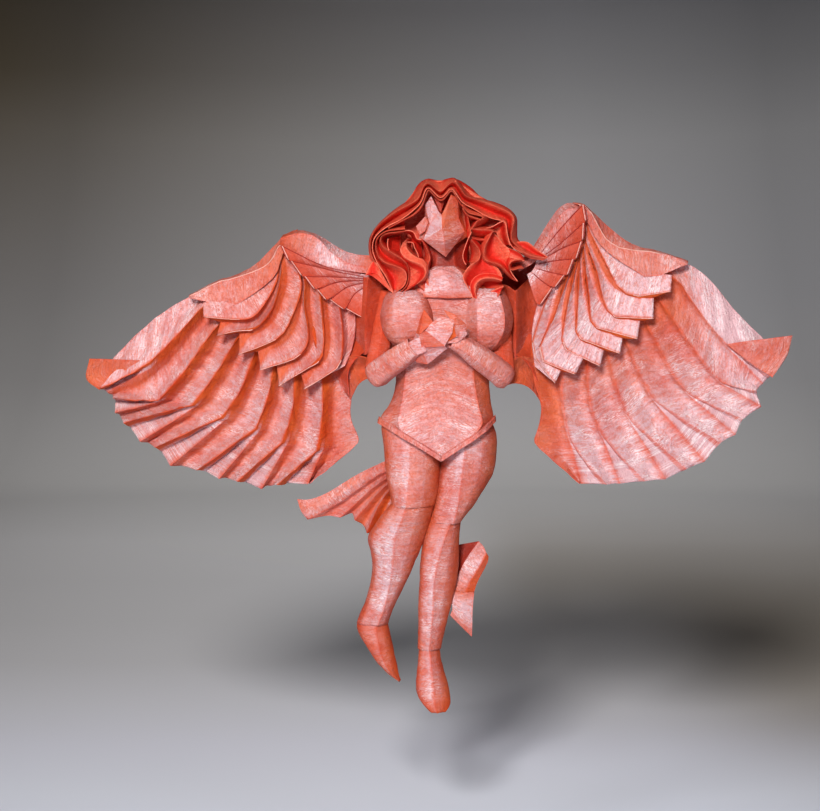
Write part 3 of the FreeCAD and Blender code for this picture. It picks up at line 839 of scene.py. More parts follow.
def left_wing() -> Wing:
    """The wing on the viewer's left, held lower and pleated more tightly.

    Returns:
        The wing, ready to build.
    """
    return Wing(
        name="left_wing", side=-1, wrist=(-55, 172), shoulder=-22,
        pearl_and_sheen=(0.3, 0.3, 0.5, 1.0, 1.1, 0.9, 1.0),
        outline=((-57, 168), (-64, 163), (-74, 160.5), (-80, 159.8), (-90.5, 155.2), (-100, 150),
                 (-110, 142), (-117, 135), (-120, 131.6)),
        plumes=(Plume(((-57, 166), (-70, 158), (-80, 154), (-85.5, 152), (-92, 144.5), (-100, 136),
                       (-106, 130.5)), ((-115, 125), (-125, 120.3))),
                Plume(((-56.5, 165), (-70, 153), (-80, 145), (-86, 137), (-92, 128), (-99, 120),
                       (-103, 116)), ((-112, 115.7), (-120, 117)), ((-103, 115), (-119.5, 111.3))),
                Plume(((-56, 164), (-66, 150), (-74, 138), (-78, 131), (-84, 122), (-90, 114.5)),
                      ((-116, 107.5),), ((-92, 113.5), (-110, 100.5))),
                Plume(((-55.5, 163), (-62, 147), (-67, 132), (-71, 121), (-76, 113.5), (-79, 110)),
                      ((-104, 98.3),), ((-79, 109.5), (-98.5, 91.5))),
                Plume(((-54.5, 163), (-57, 145), (-59, 130), (-61, 118), (-66, 106)), ((-88, 90),),
                      ((-66, 105.5), (-80, 86.8))),
                Plume(((-53.5, 163), (-52, 143), (-51, 125), (-52, 112), (-56, 101)), ((-73, 86),),
                      ((-56, 101), (-64, 83.2))),
                Plume(((-52, 164), (-44, 142), (-40.5, 122), (-41, 108), (-43, 98)), ((-58, 85),),
                      ((-43, 98), (-46.5, 85.3)))),
        inner=Plume(((-49, 166), (-34, 150), (-31, 134), (-30, 118), (-31, 111), (-27.4, 102.5)),
                    ((-27.5, 100.5), (-40, 90), (-46.2, 85.5))),
        coverts=(Covert(((-56.5, 174), (-57, 166), (-58, 160), (-64, 150), (-68, 147), (-75, 147),
                         (-85, 148)), (-85.5, 153)),
                 Covert(((-56, 174), (-56, 166), (-57, 158), (-60, 149), (-66, 143), (-72, 143),
                         (-80, 141)), (-79, 146)),
                 Covert(((-55, 174), (-51.5, 168), (-48.6, 162), (-48.7, 157), (-52, 148), (-56, 140.5),
                         (-65, 136.5), (-72, 134)), (-72, 142)),
                 Covert(((-54, 173), (-49.5, 167), (-47, 161), (-47.8, 153), (-46, 144), (-46, 138),
                         (-50, 133), (-55, 131), (-64, 128.5)), (-65, 135)),
                 Covert(((-53, 172), (-46, 165), (-41.7, 158), (-41, 150), (-40, 140), (-41, 132),
                         (-47, 128.6), (-57, 122.5)), (-58, 130)),
                 Covert(((-51, 171), (-42, 163), (-35.5, 156), (-33.5, 148), (-33, 138), (-34, 130),
                         (-40, 126), (-47.5, 121.5)), (-49, 128))),
        cover_top=((-57, 174), (-62, 163), (-75, 155.5)),
        cover_inner=((-40, 168), (-30, 158), (-28.5, 148), (-29, 138), (-32.5, 130)),
        flap=(((-105, 131.2), (-112, 131.1), (-120, 131.5), (-128.6, 131.8)),
              ((-104.5, 131.4), (-112, 128.8), (-122, 125.5), (-130, 123.6)),
              ((-104, 131.6), (-108, 128.8), (-115, 124.8), (-125.3, 119.9))),
        outer_band=(((-50, 180.3), (-55, 178.2), (-59, 174), (-66, 166.8), (-74, 162.7), (-80, 161.6),
                     (-90.8, 155.6)),
                    ((-51.5, 176.8), (-56.7, 175.3), (-59.6, 168.8), (-64, 165.5), (-74.4, 161.9),
                     (-80, 160.9), (-90.8, 155.2)),
                    ((-54.5, 173), (-56.2, 169), (-57.8, 163.6), (-64, 158), (-75.2, 150.8), (-82, 153),
                     (-90.6, 154.8))),
        inner_band=(((-55.5, 178), (-50, 180.5), (-41, 177.7), (-36, 174), (-30, 171), (-22, 170.5),
                     (-14, 170)),
                    ((-56, 177), (-49, 179.3), (-42.3, 177.6), (-36.8, 170.9), (-29.4, 166.9),
                     (-24, 166.6), (-14, 166)),
                    ((-56.5, 174.8), (-48.4, 170.6), (-40, 167), (-36, 166), (-30, 165), (-22, 164),
                     (-14, 163))),
        fan=(((-42.2, 167.6), (-36.6, 166), (-22.7, 163.5)),
             ((-46.7, 167.6), (-41.4, 166.4), (-36.6, 165.1), (-22.3, 162.6)),
             ((-37, 163.1), (-28.8, 162.7), (-22.3, 162.2)),
             ((-37, 160.7), (-32.5, 161.5), (-22.3, 161.8)),
             ((-34.5, 157.4), (-30.5, 159.9), (-21.9, 161.3)),
             ((-30.5, 154.2), (-28.4, 157.4), (-21.9, 160.7)),
             ((-24.8, 150.9), (-23.5, 156.2), (-21.9, 160))),
        fan_ends=(((-55.4, 174.3), (-53.2, 169.2)),
                  ((-52, 168.8), (-48.4, 163.5)),
                  ((-46.9, 163.1), (-43.7, 158.6)),
                  ((-42.3, 158.2), (-39.4, 154.6)),
                  ((-37.6, 154.6), (-32.9, 151.1)),
                  ((-31.7, 151.3), (-26, 148.1))),
    )


def right_wing() -> Wing:
    """The wing on the viewer's right, raised higher and opened wider.

    Returns:
        The wing, ready to build.
    """
    return Wing(
        name="right_wing", side=1, wrist=(57, 182), shoulder=36, depth=0.8, cover_depth=1.2, steep=0.12,
        bare=0.45, cover_hook=(0.80, 0.94), cover_inset=0.02, crossed=0.3, band_highlight=0.78, near_body=0.15,
        pearl_and_sheen_outer=(0.5, 0.4, 0.5, 0.7), pearl_and_sheen_inner=(0.9, 0.8, 0.6, 0.5), pearl_and_sheen_flap=(0.5, 0.5, 0.4),
        pearl_and_sheen=(0.0, 0.0, 0.0, 0.3, 0.8, 1.4, 1.9, 2.0), cupped=6.0, rim_pearl=2.2,
        pearl_and_sheen_cover=(0.5, 1.0, 1.2, 1.6, 1.6), cover_swell=(0.25, 0.9, 0.8, 0.5, 0.7), cover_rounding=0,
        cover_kind=Crease.CRISP, cover_pearl=1.0,
        cover_steep=(0.4, 0.66, 0.72, 0.66, 0.5, 0.24, 0.03, 0.03, 0.03),
        outline=((59, 182), (66, 174), (76, 171), (84, 170.8), (95, 167.6), (100, 165), (105, 160.5),
                 (110, 154), (118, 145), (124.4, 139.4)),
        plumes=(Plume(((59, 180), (75, 169), (91, 163), (96.5, 154.5), (102.5, 146.2), (108, 139.8),
                       (111.5, 136.3)), ((122, 128), (126.6, 125.2))),
                Plume(((58.5, 179), (73, 166), (85.8, 153.2), (93.9, 140.8), (100.7, 131.7), (105, 126.4),
                       (108.8, 123)), ((115, 121), (121.6, 119.9)), ((109, 122.6), (123.4, 114))),
                Plume(((58, 178), (71, 161), (80.6, 144.3), (87.9, 130.3), (91.5, 124), (96.3, 118.7)),
                      ((107, 113.5), (116.4, 109.2)), ((97, 118.3), (113.8, 103.6))),
                Plume(((57.5, 178), (66, 158), (72.4, 139.3), (76, 129.5), (80, 121.5), (83.5, 116.2)),
                      ((95, 108.5), (107.9, 100.4)), ((83.5, 116), (102, 93.6))),
                Plume(((57, 177), (62.5, 155), (65.2, 134.8), (68, 124), (71.5, 114), (74.5, 109)),
                      ((84, 100.5), (95, 90.8)), ((74.5, 108.5), (87.2, 87.2))),
                Plume(((56.5, 177), (57.5, 153), (57.9, 130.2), (58, 121), (60, 111), (64, 103.2)),
                      ((71, 95), (79.4, 86.6)), ((63.6, 103.5), (70, 85.8))),
                Plume(((55.5, 177), (51, 152), (48.1, 126.6), (48.4, 118), (49.5, 110), (51.7, 102)),
                      ((57.5, 93.5), (65, 85.6)), ((51, 100.5), (55.6, 86)))),
        inner=Plume(((53, 178), (42, 158), (36, 140), (37.5, 124), (41, 115), (40, 108), (38, 103)),
                    ((38, 101), (46, 93.6), (55, 86))),
        coverts=(Covert(((57.5, 186), (58, 180), (61.1, 174.3), (65.6, 165.7), (68.3, 160), (72, 156.6),
                         (77, 155.6), (88.6, 157.5)), (89, 163.4)),
                 Covert(((57.2, 185), (57, 175.7), (61.1, 164.8), (63.3, 154.8), (65.2, 150.3),
                         (68, 147.9), (82.1, 147.4)), (82.2, 155.2)),
                 Covert(((56.9, 184), (56, 174), (57, 164.8), (58.3, 153.9), (58.8, 146.6), (61, 144),
                         (76.1, 140)), (77.2, 146.6)),
                 Covert(((56.6, 183), (55, 172), (54.3, 160), (53.8, 150), (53.3, 142.8), (55.2, 139.8),
                         (69.6, 134.6)), (70.6, 140.2)),
                 Covert(((56.2, 182), (54, 170), (51.5, 158.9), (49.3, 148.4), (48, 140), (49.5, 136),
                         (62.2, 130)), (63.6, 135.9)),
                 Covert(((55.8, 181), (52, 168), (48.5, 158), (45.5, 149), (42, 142), (39.7, 137),
                         (41, 131.8), (52.9, 127)), (56.1, 133)),
                 Covert(((55, 180), (48, 166), (42, 154), (39, 146), (37, 139), (38, 133), (45.4, 123.9)),
                        (47.7, 128.4))),
        cover_top=((58, 186), (66, 174), (78, 164.5)),
        cover_inner=((52, 176), (42, 162), (38, 150), (36.5, 140), (38, 130)),
        flap=(((110, 137.4), (117, 138.6), (124.1, 139.5), (134.4, 140.9)),
              ((110.5, 137), (118, 134.8), (125, 132.6), (133, 133.6)),
              ((111, 136.6), (116, 132.8), (121, 129), (127.4, 125))),
        outer_band=(((52, 190.3), (56, 190), (60, 186), (70, 177.3), (76, 173.8), (84, 172.4),
                     (95.4, 168.4)),
                    ((54, 189.6), (57.5, 188.6), (62, 180.5), (65, 176), (70.5, 173), (84, 171.9),
                     (95.3, 168)),
                    ((55.5, 186), (57.6, 183), (61, 176), (66.5, 170.5), (73, 166.5), (80.6, 161.6),
                     (95, 167.4))),
        inner_band=(((57, 189), (51, 190.4), (47.5, 188.8), (45, 186), (40, 178.2), (35.5, 171),
                     (30, 168.5)),
                    ((57, 187), (51, 188.6), (47.6, 186.5), (45, 182), (41, 175), (36.5, 169.8),
                     (31, 167)),
                    ((57.6, 184), (56, 182.6), (51, 179.4), (46.5, 176.5), (42.5, 172.8), (38, 168.5),
                     (32, 165))),
        fan=(((50, 184), (44, 177), (38.6, 170)),
             ((51, 178.6), (46, 174.2), (38.4, 169)),
             ((49.4, 174.4), (44, 171.4), (38.2, 168.2)),
             ((48, 169.4), (43, 168.6), (38, 167.4)),
             ((45, 164.4), (41, 165.4), (37.6, 166.4)),
             ((42, 160.4), (39, 162.6), (36.6, 165)),
             ((38.4, 154), (36.6, 159.4), (35, 164))),
        fan_ends=(((55.3, 189.6), (56.5, 183.7)),
                  ((55.6, 182.8), (55.4, 176.6)),
                  ((54.8, 176), (53.1, 169.9)),
                  ((51.8, 169.5), (49.9, 163.9)),
                  ((48.4, 163.6), (45.4, 159.4)),
                  ((44, 159), (40, 153))),
    )


# ---- Body -----------------------------------------------------------------------------------
# Height, left side, left fold, right fold, right side, and how far back the front, sides and back lie.
Level = tuple[float, float, float, float, float, float, float, float]


@dataclass(frozen=True)
class Trunk:
    """A hollow fold round the body: flat front panel, turned sides and a plain back."""

    name: str
    levels: tuple[Level, ...]
    rows: int = 60
    bulge: float = 0.8
    side_kind: Crease = Crease.SOFT
    fold_kind: Crease = Crease.CRISP
    rounding: int = 2
    pearl_and_sheen: tuple[float, ...] = (0.8,)
    side_pearl: tuple[float, float] = (0.1, 0.1)

    def build(self, material: bpy.types.Material, seed: float) -> bpy.types.Object:
        """Make the fold from its levels.

        Args:
            material: the paper.
            seed: shifts the crumple pattern.

        Returns:
            The finished object.
        """
        lines: list[list[Point3]] = [[] for _ in range(8)]
        for z, left, fold_left, fold_right, right, front, side, back in self.levels:
            middle = (fold_left + fold_right) / 2
            ring = (
                (left, side, z), (fold_left, front, z), (middle, front - self.bulge, z),
                (fold_right, front, z),
                (right, side, z), (fold_right, back, z), (middle, back + 0.5, z), (fold_left, back, z),
            )
            for line, corner in zip(lines, ring):
                line.append(corner)
        kinds = (self.side_kind, self.fold_kind, Crease.SOFT, self.fold_kind,
                 self.side_kind, Crease.SOFT, Crease.SOFT, Crease.SOFT)
        # Full pearl on the front as painted sheen, less on the sides and back as painted shade.
        near, far = self.side_pearl
        pearls = ((0.0, near * 0.5), (near, 1.0), (1.0, 1.0), (1.0, far), (far * 0.5, 0.0), (0.3, 0.3),
                  (0.3, 0.3), (0.3, 0.0))
        folds = [Fold(line_of(line, self.rows, self.rounding), kind, pearl=reached, beyond=left)
                 for line, kind, (reached, left) in zip(lines, kinds, pearls)]
        return Sheet(self.name, folds, material, closed=True, grain=FINE, pearl_and_sheen=self.pearl_and_sheen).build(seed)


@dataclass(frozen=True)
class Limb:
    """A folded tube along a limb, through rings of corners."""

    name: str
    rings: tuple[tuple[Point3, float, float], ...]
    turned: float = 30.0
    corners: int = 6
    rows: int = 34
    pearl_and_sheen: tuple[float, ...] = (0.6,)

    def build(self, material: bpy.types.Material, seed: float) -> bpy.types.Object:
        """Make the tube.

        Args:
            material: the paper.
            seed: shifts the crumple pattern.

        Returns:
            The finished object.
        """
        lines: list[list[Point3]] = [[] for _ in range(self.corners)]
        axis = (Vector(self.rings[-1][0]) - Vector(self.rings[0][0])).normalized()
        across = axis.cross(Vector((0, 1, 0))).normalized()
        deep = axis.cross(across)
        for centre, half_width, half_depth in self.rings:
            for count, line in enumerate(lines):
                angle = math.radians(360 / self.corners * count + self.turned)
                wide = across * (half_width * math.cos(angle))
                line.append(tuple(Vector(centre) + wide + deep * (half_depth * math.sin(angle))))
        kinds = [Crease.CRISP if count % 2 else Crease.SOFT for count in range(self.corners)]
        folds = [Fold(line_of(line, self.rows, 1), kind) for line, kind in zip(lines, kinds)]
        return Sheet(self.name, folds, material, closed=True, grain=FINE, pearl_and_sheen=self.pearl_and_sheen).build(seed)


@dataclass(frozen=True)
class Leg:
    """A leg or foot hanging from its top, with one pressed ridge down its front."""

    name: str
    rows_of: tuple[tuple[float, float, float, float, float, float], ...]
    rows: int = 60
    ridge_kind: Crease = Crease.CRISP
    pearl_and_sheen: tuple[float, ...] = (0.8,)

    def build(self, material: bpy.types.Material, seed: float) -> bpy.types.Object:
        """Make the leg from rows of height, left, ridge, right, front and back.

        Args:
            material: the paper.
            seed: shifts the crumple pattern.

        Returns:
            The finished object.
        """
        lines: list[list[Point3]] = [[] for _ in range(8)]
        for z, left, ridge, right, front, back in self.rows_of:
            side = front * 0.35 + back * 0.65
            near = front * 0.8 + back * 0.2
            ring = (
                (left, side, z), (left * 0.82 + ridge * 0.18, near, z),
                (left * 0.3 + ridge * 0.7, front + 0.2, z),
                (ridge, front - 0.4, z), (ridge * 0.45 + right * 0.55, front + 1.3, z), (right, side, z),
                (ridge * 0.4 + right * 0.6, back, z), (ridge * 0.4 + left * 0.6, back, z),
            )
            for line, corner in zip(lines, ring):
                line.append(corner)
        soft = Crease.SOFT
        kinds = (soft, soft, soft, self.ridge_kind, soft, soft, soft, soft)
        # Most pearl on the front ridge as painted sheen, least on the sides and back as painted shade.
        pearls = ((0.0, 0.1), (0.2, 0.4), (0.9, 1.3), (1.4, 0.7), (0.7, 0.4), (0.1, 0.0), (0.2, 0.2),
                  (0.2, 0.0))
        folds = [Fold(line_of(line, self.rows, 2), kind, pearl=reached, beyond=left)
                 for line, kind, (reached, left) in zip(lines, kinds, pearls)]
        return Sheet(self.name, folds, material, closed=True, grain=FINE, sign=-1,
                     pearl_and_sheen=self.pearl_and_sheen).build(seed)


@dataclass
class Body:
    """Bodice with its hem, chest, arms, hands, throat and a blank faceted face."""

    bodice: Trunk = Trunk("bodice", (
        (96.4, 2.4, 2.7, 3.7, 4, -12.4, -11, -6), (99.7, -3.6, -3.2, 8, 8.4, -12.4, -10, 0),
        (104.3, -11.4, -9.8, 14.4, 15.5, -12.2, -6, 6), (109.2, -19.6, -12.6, 18.5, 22.8, -11.2, -1.5, 9.5),
        (112, -18.4, -12.3, 18, 22.6, -10, -1, 9.2), (116, -15.3, -11.4, 17, 21.6, -9, -1, 8.6),
        (122, -13.4, -10.4, 15.8, 20.9, -8.2, -1, 8.2), (128, -13, -9.8, 15, 21, -8.1, -1, 8),
        (134, -14, -9, 15, 24, -8.6, -1, 8), (142, -16.4, -9, 16, 27, -9.4, -1, 8),
        (150, -17.6, -8, 17, 28, -9.6, -1, 8), (157, -17.4, -6, 15, 27.5, -8.6, 0, 7.6),
        (161, -13, -3, 13, 24, -7.6, 0, 7), (164.5, -5, -1, 11, 15, -6.4, 0, 6),
        (167, -0.6, 1.5, 8, 10.2, -5, 0, 5),
    ), rows=110, pearl_and_sheen=(0.9, 1.0, 1.0, 0.7, 0.6, 0.55, 0.5, 0.6, 0.8, 1.0), side_pearl=(0.6, 0.3))
    hems: tuple[tuple[str, tuple[Point3, ...], tuple[Point3, ...]], ...] = (
        ("left", ((-20.3, -1.5, 109), (-12.8, -12.2, 105.6), (-4.2, -13.2, 100.6), (3.2, -13.6, 96)),
         ((-19.9, -1.3, 110.5), (-12.6, -11.9, 107.2), (-4.1, -13, 102.1), (3.2, -13.6, 97.5))),
        ("right", ((23.6, -1.5, 109.6), (18.6, -12.2, 105.8), (10.2, -13.2, 100.6), (3.2, -13.6, 96)),
         ((23.5, -1.3, 111.1), (18.5, -11.9, 107.3), (10.1, -13, 102.1), (3.2, -13.6, 97.5))),
    )
    collar_panel: tuple[tuple[Point3, ...], ...] = (
        ((-2.2, -6.6, 165.6), (-2.6, -8.8, 160), (-3.6, -10.4, 156)),
        ((4.4, -8.2, 166), (5, -10.4, 161), (5.6, -11.6, 155.7)),
        ((10.8, -6.8, 163.8), (13.4, -9, 160), (16.2, -10.4, 155.9)),
    )
    chest_left: Trunk = Trunk("chest_left", (
        (158.4, -15, -12, -6, -4, -7.5, -3, 0), (156.6, -17.3, -13.6, -4.4, -2, -11.6, -3, 1),
        (152, -18.2, -14.4, -3.4, -0.6, -14.6, -3, 1), (148, -18.6, -14.6, -3, 0.2, -15.3, -3, 1),
        (143, -17.6, -14, -3, 0.2, -14.6, -3, 1), (139, -15.2, -12, -4, -1, -12, -3, 1),
        (136.4, -12.4, -9.8, -5.6, -3, -8.4, -4, 0),
    ), rows=40, bulge=0.6, fold_kind=Crease.SOFT, rounding=3, pearl_and_sheen=(1.2, 1.0, 0.7, 0.6, 0.5),
          side_pearl=(0.6, 0.5))
    chest_right: Trunk = Trunk("chest_right", (
        (159, 13, 16.4, 23, 25.4, -7.5, -3, 0), (157, 10.6, 16.2, 24.4, 27.2, -11.4, -3, 1),
        (152, 8.4, 16.2, 26, 28.9, -14.5, -3, 1), (147.5, 9, 16.4, 26.4, 29.5, -15.2, -3, 1),
        (143, 10.4, 16.4, 25.8, 28.8, -14.6, -3, 1), (139, 12.6, 16.6, 23.8, 27, -12.2, -3, 1),
        (136, 15.6, 17.6, 21.4, 24.4, -8.4, -4, 0),
    ), rows=40, bulge=0.6, rounding=3, pearl_and_sheen=(1.3, 1.2, 0.9, 0.6, 0.5), side_pearl=(0.6, 0.5))
    upper_arms: tuple[Limb, ...] = (
        Limb("upper_arm_left", (
            ((-16, 1, 157), 3.4, 3.6), ((-18.6, -2, 142), 3.8, 4), ((-21, -6, 129), 4, 4.2),
        ), pearl_and_sheen=(0.1,)),
        Limb("upper_arm_right", (
            ((24, 1, 158), 3.4, 3.6), ((25.4, -2, 142), 3.8, 4), ((26.5, -6, 128.4), 4, 4.2),
        ), pearl_and_sheen=(0.1,)),
    )
    forearms: tuple[Limb, ...] = (
        Limb("forearm_left", (
            ((-22.6, -5.6, 125.2), 1.2, 1.2), ((-21.8, -6.8, 126.2), 5, 3.8),
            ((-17.4, -9.6, 130), 4.7, 4.3),
            ((-12, -12.6, 134), 4.4, 4), ((-6.4, -15.2, 138.2), 3.9, 3.2),
        ), turned=10),
        Limb("forearm_right", (
            ((28.6, -5.4, 125), 1.2, 1.2), ((27.6, -6.6, 126.2), 5.3, 3.8), ((22, -10, 130.4), 4.5, 4.2),
            ((16, -13, 135), 4.2, 3.8), ((9.6, -15.6, 139.6), 3.3, 2.8), ((6.4, -16.2, 139.4), 1.2, 1.6),
        ), turned=10),
    )
    # Each hand facet's tone also paints its highlight or shade.
    hands: tuple[Facets, ...] = (
        Facets("hand_left", {
            "a": (-6.4, -14.2, 143.4), "b": (-3.1, -17, 152), "c": (0.2, -18, 147.4),
            "d": (-4.8, -17.4, 142.8),
            "e": (-0.8, -18.2, 146.8), "f": (3, -18.4, 149.6), "g": (7.6, -18.6, 148.2),
            "h": (7.2, -19.4, 143.8),
            "i": (4.4, -18.6, 138.9), "j": (-2.7, -18.6, 144.4), "k": (-5.9, -13.8, 132.5),
            "l": (-1.8, -14.2, 131.8),
            "m": (5.2, -16.8, 137.8), "n": (-7.6, -14, 137), "o": (-4, -17.6, 138.2),
        }, ("a d c b", "e j i h", "e h g f", "a n o d", "d o i j", "n k l o", "o l m i"), cuts=5,
            tones=(0.1, 1.1, 0.7, 0.9, 0.3, 0.5, 1.2)),
        Facets("wrist_fold_left", {
            "a": (-8.8, -16.6, 139.9), "b": (-4.6, -17.4, 142), "c": (-2.2, -18, 136.8),
            "d": (-7, -17, 134.8),
        }, ("a b c d",), cuts=5, tones=(1.3,)),
        Facets("hand_right", {
            "a": (4.8, -17.6, 139.6), "b": (11.5, -18.4, 145.4), "c": (12.6, -17.4, 143),
            "d": (9, -18, 140),
            "e": (3.9, -17, 151.9), "f": (8, -17.8, 150.2), "g": (12.2, -16.6, 146.4),
            "h": (11.8, -16.4, 141),
            "i": (7.8, -18.8, 146.4), "j": (8.4, -19, 142.2),
        }, ("a b c d", "e i g f", "i j h g", "a j i"), cuts=5, tones=(0.9, 0.2, 0.5, 0.0)),
    )
    throat: Trunk = Trunk("throat", (
        (163.6, -4, 1, 9, 13.4, -5.4, -1, 4), (168, -4, 1.6, 8, 13.4, -4.4, -1, 4),
        (178, -4, 1.8, 7.6, 13, -3.4, 0, 4),
    ), rows=16, bulge=0.3)
    # The face's tones paint its left plates pale as highlight and its right plates darker as shade.
    face: Facets = Facets("face", {
        "a": (-0.45, -8.6, 192.7), "b": (2.2, -10.8, 187.2), "c": (3.3, -12, 186), "d": (-2.7, -7, 189.6),
        "e": (-0.9, -9.6, 182.5), "f": (-3.2, -7.4, 176.9), "g": (4.8, -9.4, 170.9),
        "h": (11.7, -7.2, 179.8),
        "i": (6.7, -9, 193.4), "j": (9, -7, 192), "k": (9.4, -8.4, 184.7), "m": (3.4, -13.6, 181),
        "n": (4.2, -13.8, 176.6), "o": (-2.6, -4.5, 184), "p": (10.6, -4.5, 185), "q": (-5, -5, 177),
        "r": (13, -5, 178.4), "s": (4.8, -6, 172.4),
    }, ("d e m c b a", "e f m", "f g n m", "c m k j i", "m n h k", "n g h",
        "d o e", "o q f e", "k p j", "p k h r", "q s g f", "s r h g"), cuts=7,
        tones=(1.5, 1.8, 0.6, 0.2, 0.35, 0.5, 0.4, 0.4, 0.1, 0.1, 0.1, 0.1))
    parting_fold: Facets = Facets("parting_fold", {
        "a": (0.4, -8, 192.4), "b": (2.9, -8.6, 190.4), "c": (4.6, -8, 191.6), "d": (2.9, -9.4, 187),
    }, ("a b d", "b c d"), cuts=5, tones=(0.0, 0.1))
    ear_fold: Facets = Facets("ear_fold", {
        "a": (-2.6, -7.2, 185.4), "b": (-6, -6.2, 181.8), "c": (-4.6, -7, 178.6), "d": (-2.8, -8.4, 180),
        "e": (-1.6, -8.6, 183.4),
    }, ("a b c d e",), cuts=5)

    def hem(self, label: str, outer: tuple[Point3, ...], inner: tuple[Point3, ...],
            material: bpy.types.Material) -> None:
        """One side of the bodice's double hem.

        Args:
            label: which side it is on.
            outer: its lower edge.
            inner: its upper edge.
            material: the paper.
        """
        low, high = np.array(outer), np.array(inner)
        edges = (high + (0, 0.9, 0.6), high + (0, -0.5, 0), (low + high) / 2 + (0, -0.5, 0),
                 low + (0, -0.9, 0), low + (0, 2.4, 1.0))
        folds = [Fold(line_of([tuple(corner) for corner in edge], 40, 1)) for edge in edges]
        Sheet(f"bodice_hem_{label}", folds, material, grain=FINE, crumpled=0.05, broad=0.08,
              sign=1 if label == "left" else -1, pearl_and_sheen=(0.4, 0.6, 0.7)).build(45.0)

    def build(self, papers: dict[Paper, bpy.types.Material]) -> None:
        """Make the whole body.

        Args:
            papers: the material of each paper.
        """
        pearl, shaded_copy, deep = (papers[paper] for paper in (Paper.BRUSHED, Paper.SHADED_COPY, Paper.DEEP_SHADE))
        self.bodice.build(pearl, 41.0)
        for label, outer, inner in self.hems:
            self.hem(label, outer, inner, pearl)
        Sheet("collar_panel", pleat(self.collar_panel, 22, 1), pearl, grain=FINE,
              pearl_and_sheen=(1.2, 1.4, 1.4, 0.2)).build(51.0)
        self.chest_left.build(pearl, 53.0)
        self.chest_right.build(pearl, 57.0)
        # The upper arms take the shaded copy of the paper, as painted shade.
        for count, arm in enumerate(self.upper_arms):
            arm.build(shaded_copy, 61.0 + 2 * count)
        for count, arm in enumerate(self.forearms):
            arm.build(pearl, 65.0 + 2 * count)
        for count, hand in enumerate(self.hands):
            hand.build(pearl, 71.0 + count)
        # The throat and the parting fold take the deep-shade copy, as painted shade.
        self.throat.build(deep, 75.0)
        self.face.build(pearl, 77.0)
        self.parting_fold.build(deep, 78.0)
        self.ear_fold.build(pearl, 79.0)


@dataclass
class Webs:
    """Side panels behind the chest, the twisted webs from the elbows to the wings, and dark folds behind
    the arms; the panels, flanges and dark folds are painted shade.
    """

    sheets: tuple[tuple[str, Paper, tuple[tuple[Point3, ...], ...]], ...] = (
        # Side panels and elbow flanges take the shaded copy of the paper, as painted shade.
        ("side_panel_left", Paper.SHADED_COPY, (
            ((-33, 6.8, 166), (-33, 7.5, 150), (-32, 7, 132)),
            ((-28, 2, 163), (-28, 2.5, 150), (-28, 2.5, 134)),
            ((-23.6, -4.6, 163), (-24.7, -5, 152), (-24.6, -5.4, 134.5)),
            ((-20, 0, 163), (-20, 0.5, 150), (-19, 0, 137)),
            ((-14, 4, 162), (-14, 4, 148), (-14, 4, 136)))),
        ("side_panel_right", Paper.SHADED_COPY, (
            ((42, 7.5, 166), (42, 7.5, 150), (41, 7, 130)),
            ((36, 5, 162), (36, 5, 148), (35, 4, 132)),
            ((30.6, -3.4, 158), (30.9, -4, 148), (30.8, -4.6, 132.4)),
            ((27, 1.5, 160), (27, 2, 148), (27, 1, 134)),
            ((20, 4.5, 160), (20, 4.5, 148), (20, 4.5, 134)))),
        ("elbow_web_left", Paper.BRUSHED, (
            ((-19, -6.8, 131.6), (-26, -4, 134), (-31, 0, 133.8), (-37, 6.4, 129)),
            ((-19.6, -3.4, 129), (-26, 1.4, 128.6), (-31, 4, 126.6), (-34.6, 7.6, 122)),
            ((-18.6, -6.6, 124.2), (-23.4, -4.2, 126.2), (-27.6, -2.2, 123.6), (-30.4, 3, 117)))),
        ("elbow_flange_left", Paper.SHADED_COPY, (
            ((-24.8, -4.4, 135.6), (-28.6, -1.4, 132.4), (-32, 0.4, 127.6), (-30.8, 1.6, 118.4)),
            ((-27, 2, 139), (-32, 4, 135), (-35, 5, 129), (-32.4, 5.4, 119.4)),
            ((-26, 5, 144), (-36, 5.4, 139), (-39, 6.4, 131), (-34.6, 7.4, 121.4)))),
        ("elbow_web_right", Paper.BRUSHED, (
            ((26.8, -6.8, 131.6), (32, -3.6, 134), (37, 0, 133.2), (43.6, 6, 130)),
            ((27.6, -3.4, 128), (33, 1, 128.6), (37.6, 3, 127.4), (43, 7.4, 123)),
            ((25.4, -6.6, 122.2), (30, -3.8, 124.2), (36.4, -1.6, 122.4), (41, 3, 115.6)))),
        ("elbow_flange_right", Paper.SHADED_COPY, (
            ((30.8, -4.4, 134.4), (34, -2, 132.8), (37.4, 0.4, 128), (41.4, 1.6, 118.6)),
            ((33, 2, 138), (37, 3, 135), (40, 4, 130), (43, 5, 121)),
            ((34, 5, 143), (40, 5, 139), (44, 5.4, 134), (45.6, 7, 124)))),
    )
    # Dark pleated folds behind the arms, as painted shade: the side, both edges, the top and the foot of
    # each, in millimetres.
    inner_folds: tuple[tuple[str, float, float, float, float], ...] = (
        ("left", -31, -15, 165, 132), ("right", 21, 40, 168.4, 148),
    )
    inner_depths: tuple[float, ...] = (9.5, 7.6, 9.8, 7.6, 9.5)
    inner_drops: tuple[float, ...] = (0, -3.5, -1, -4.5, -2)

    def build(self, papers: dict[Paper, bpy.types.Material]) -> None:
        """Make every web and the folds behind them.

        Args:
            papers: the material of each paper.
        """
        sheets = list(self.sheets)
        for label, left, right, top, low in self.inner_folds:
            across = zip(np.linspace(left, right, 5), self.inner_depths, self.inner_drops)
            sheets.append((f"inner_fold_{label}", Paper.DEEP_SHADE, tuple(
                ((x, y, top), (x, y + 0.6, 160), (x, y, low + drop)) for x, y, drop in across)))
        for count, (label, paper, lines) in enumerate(sheets):
            Sheet(label, pleat(lines, 40, 2), papers[paper], grain=FINE,
                  pearl_and_sheen=(0.1, 0.1, 0.3)).build(81.0 + 3 * count)


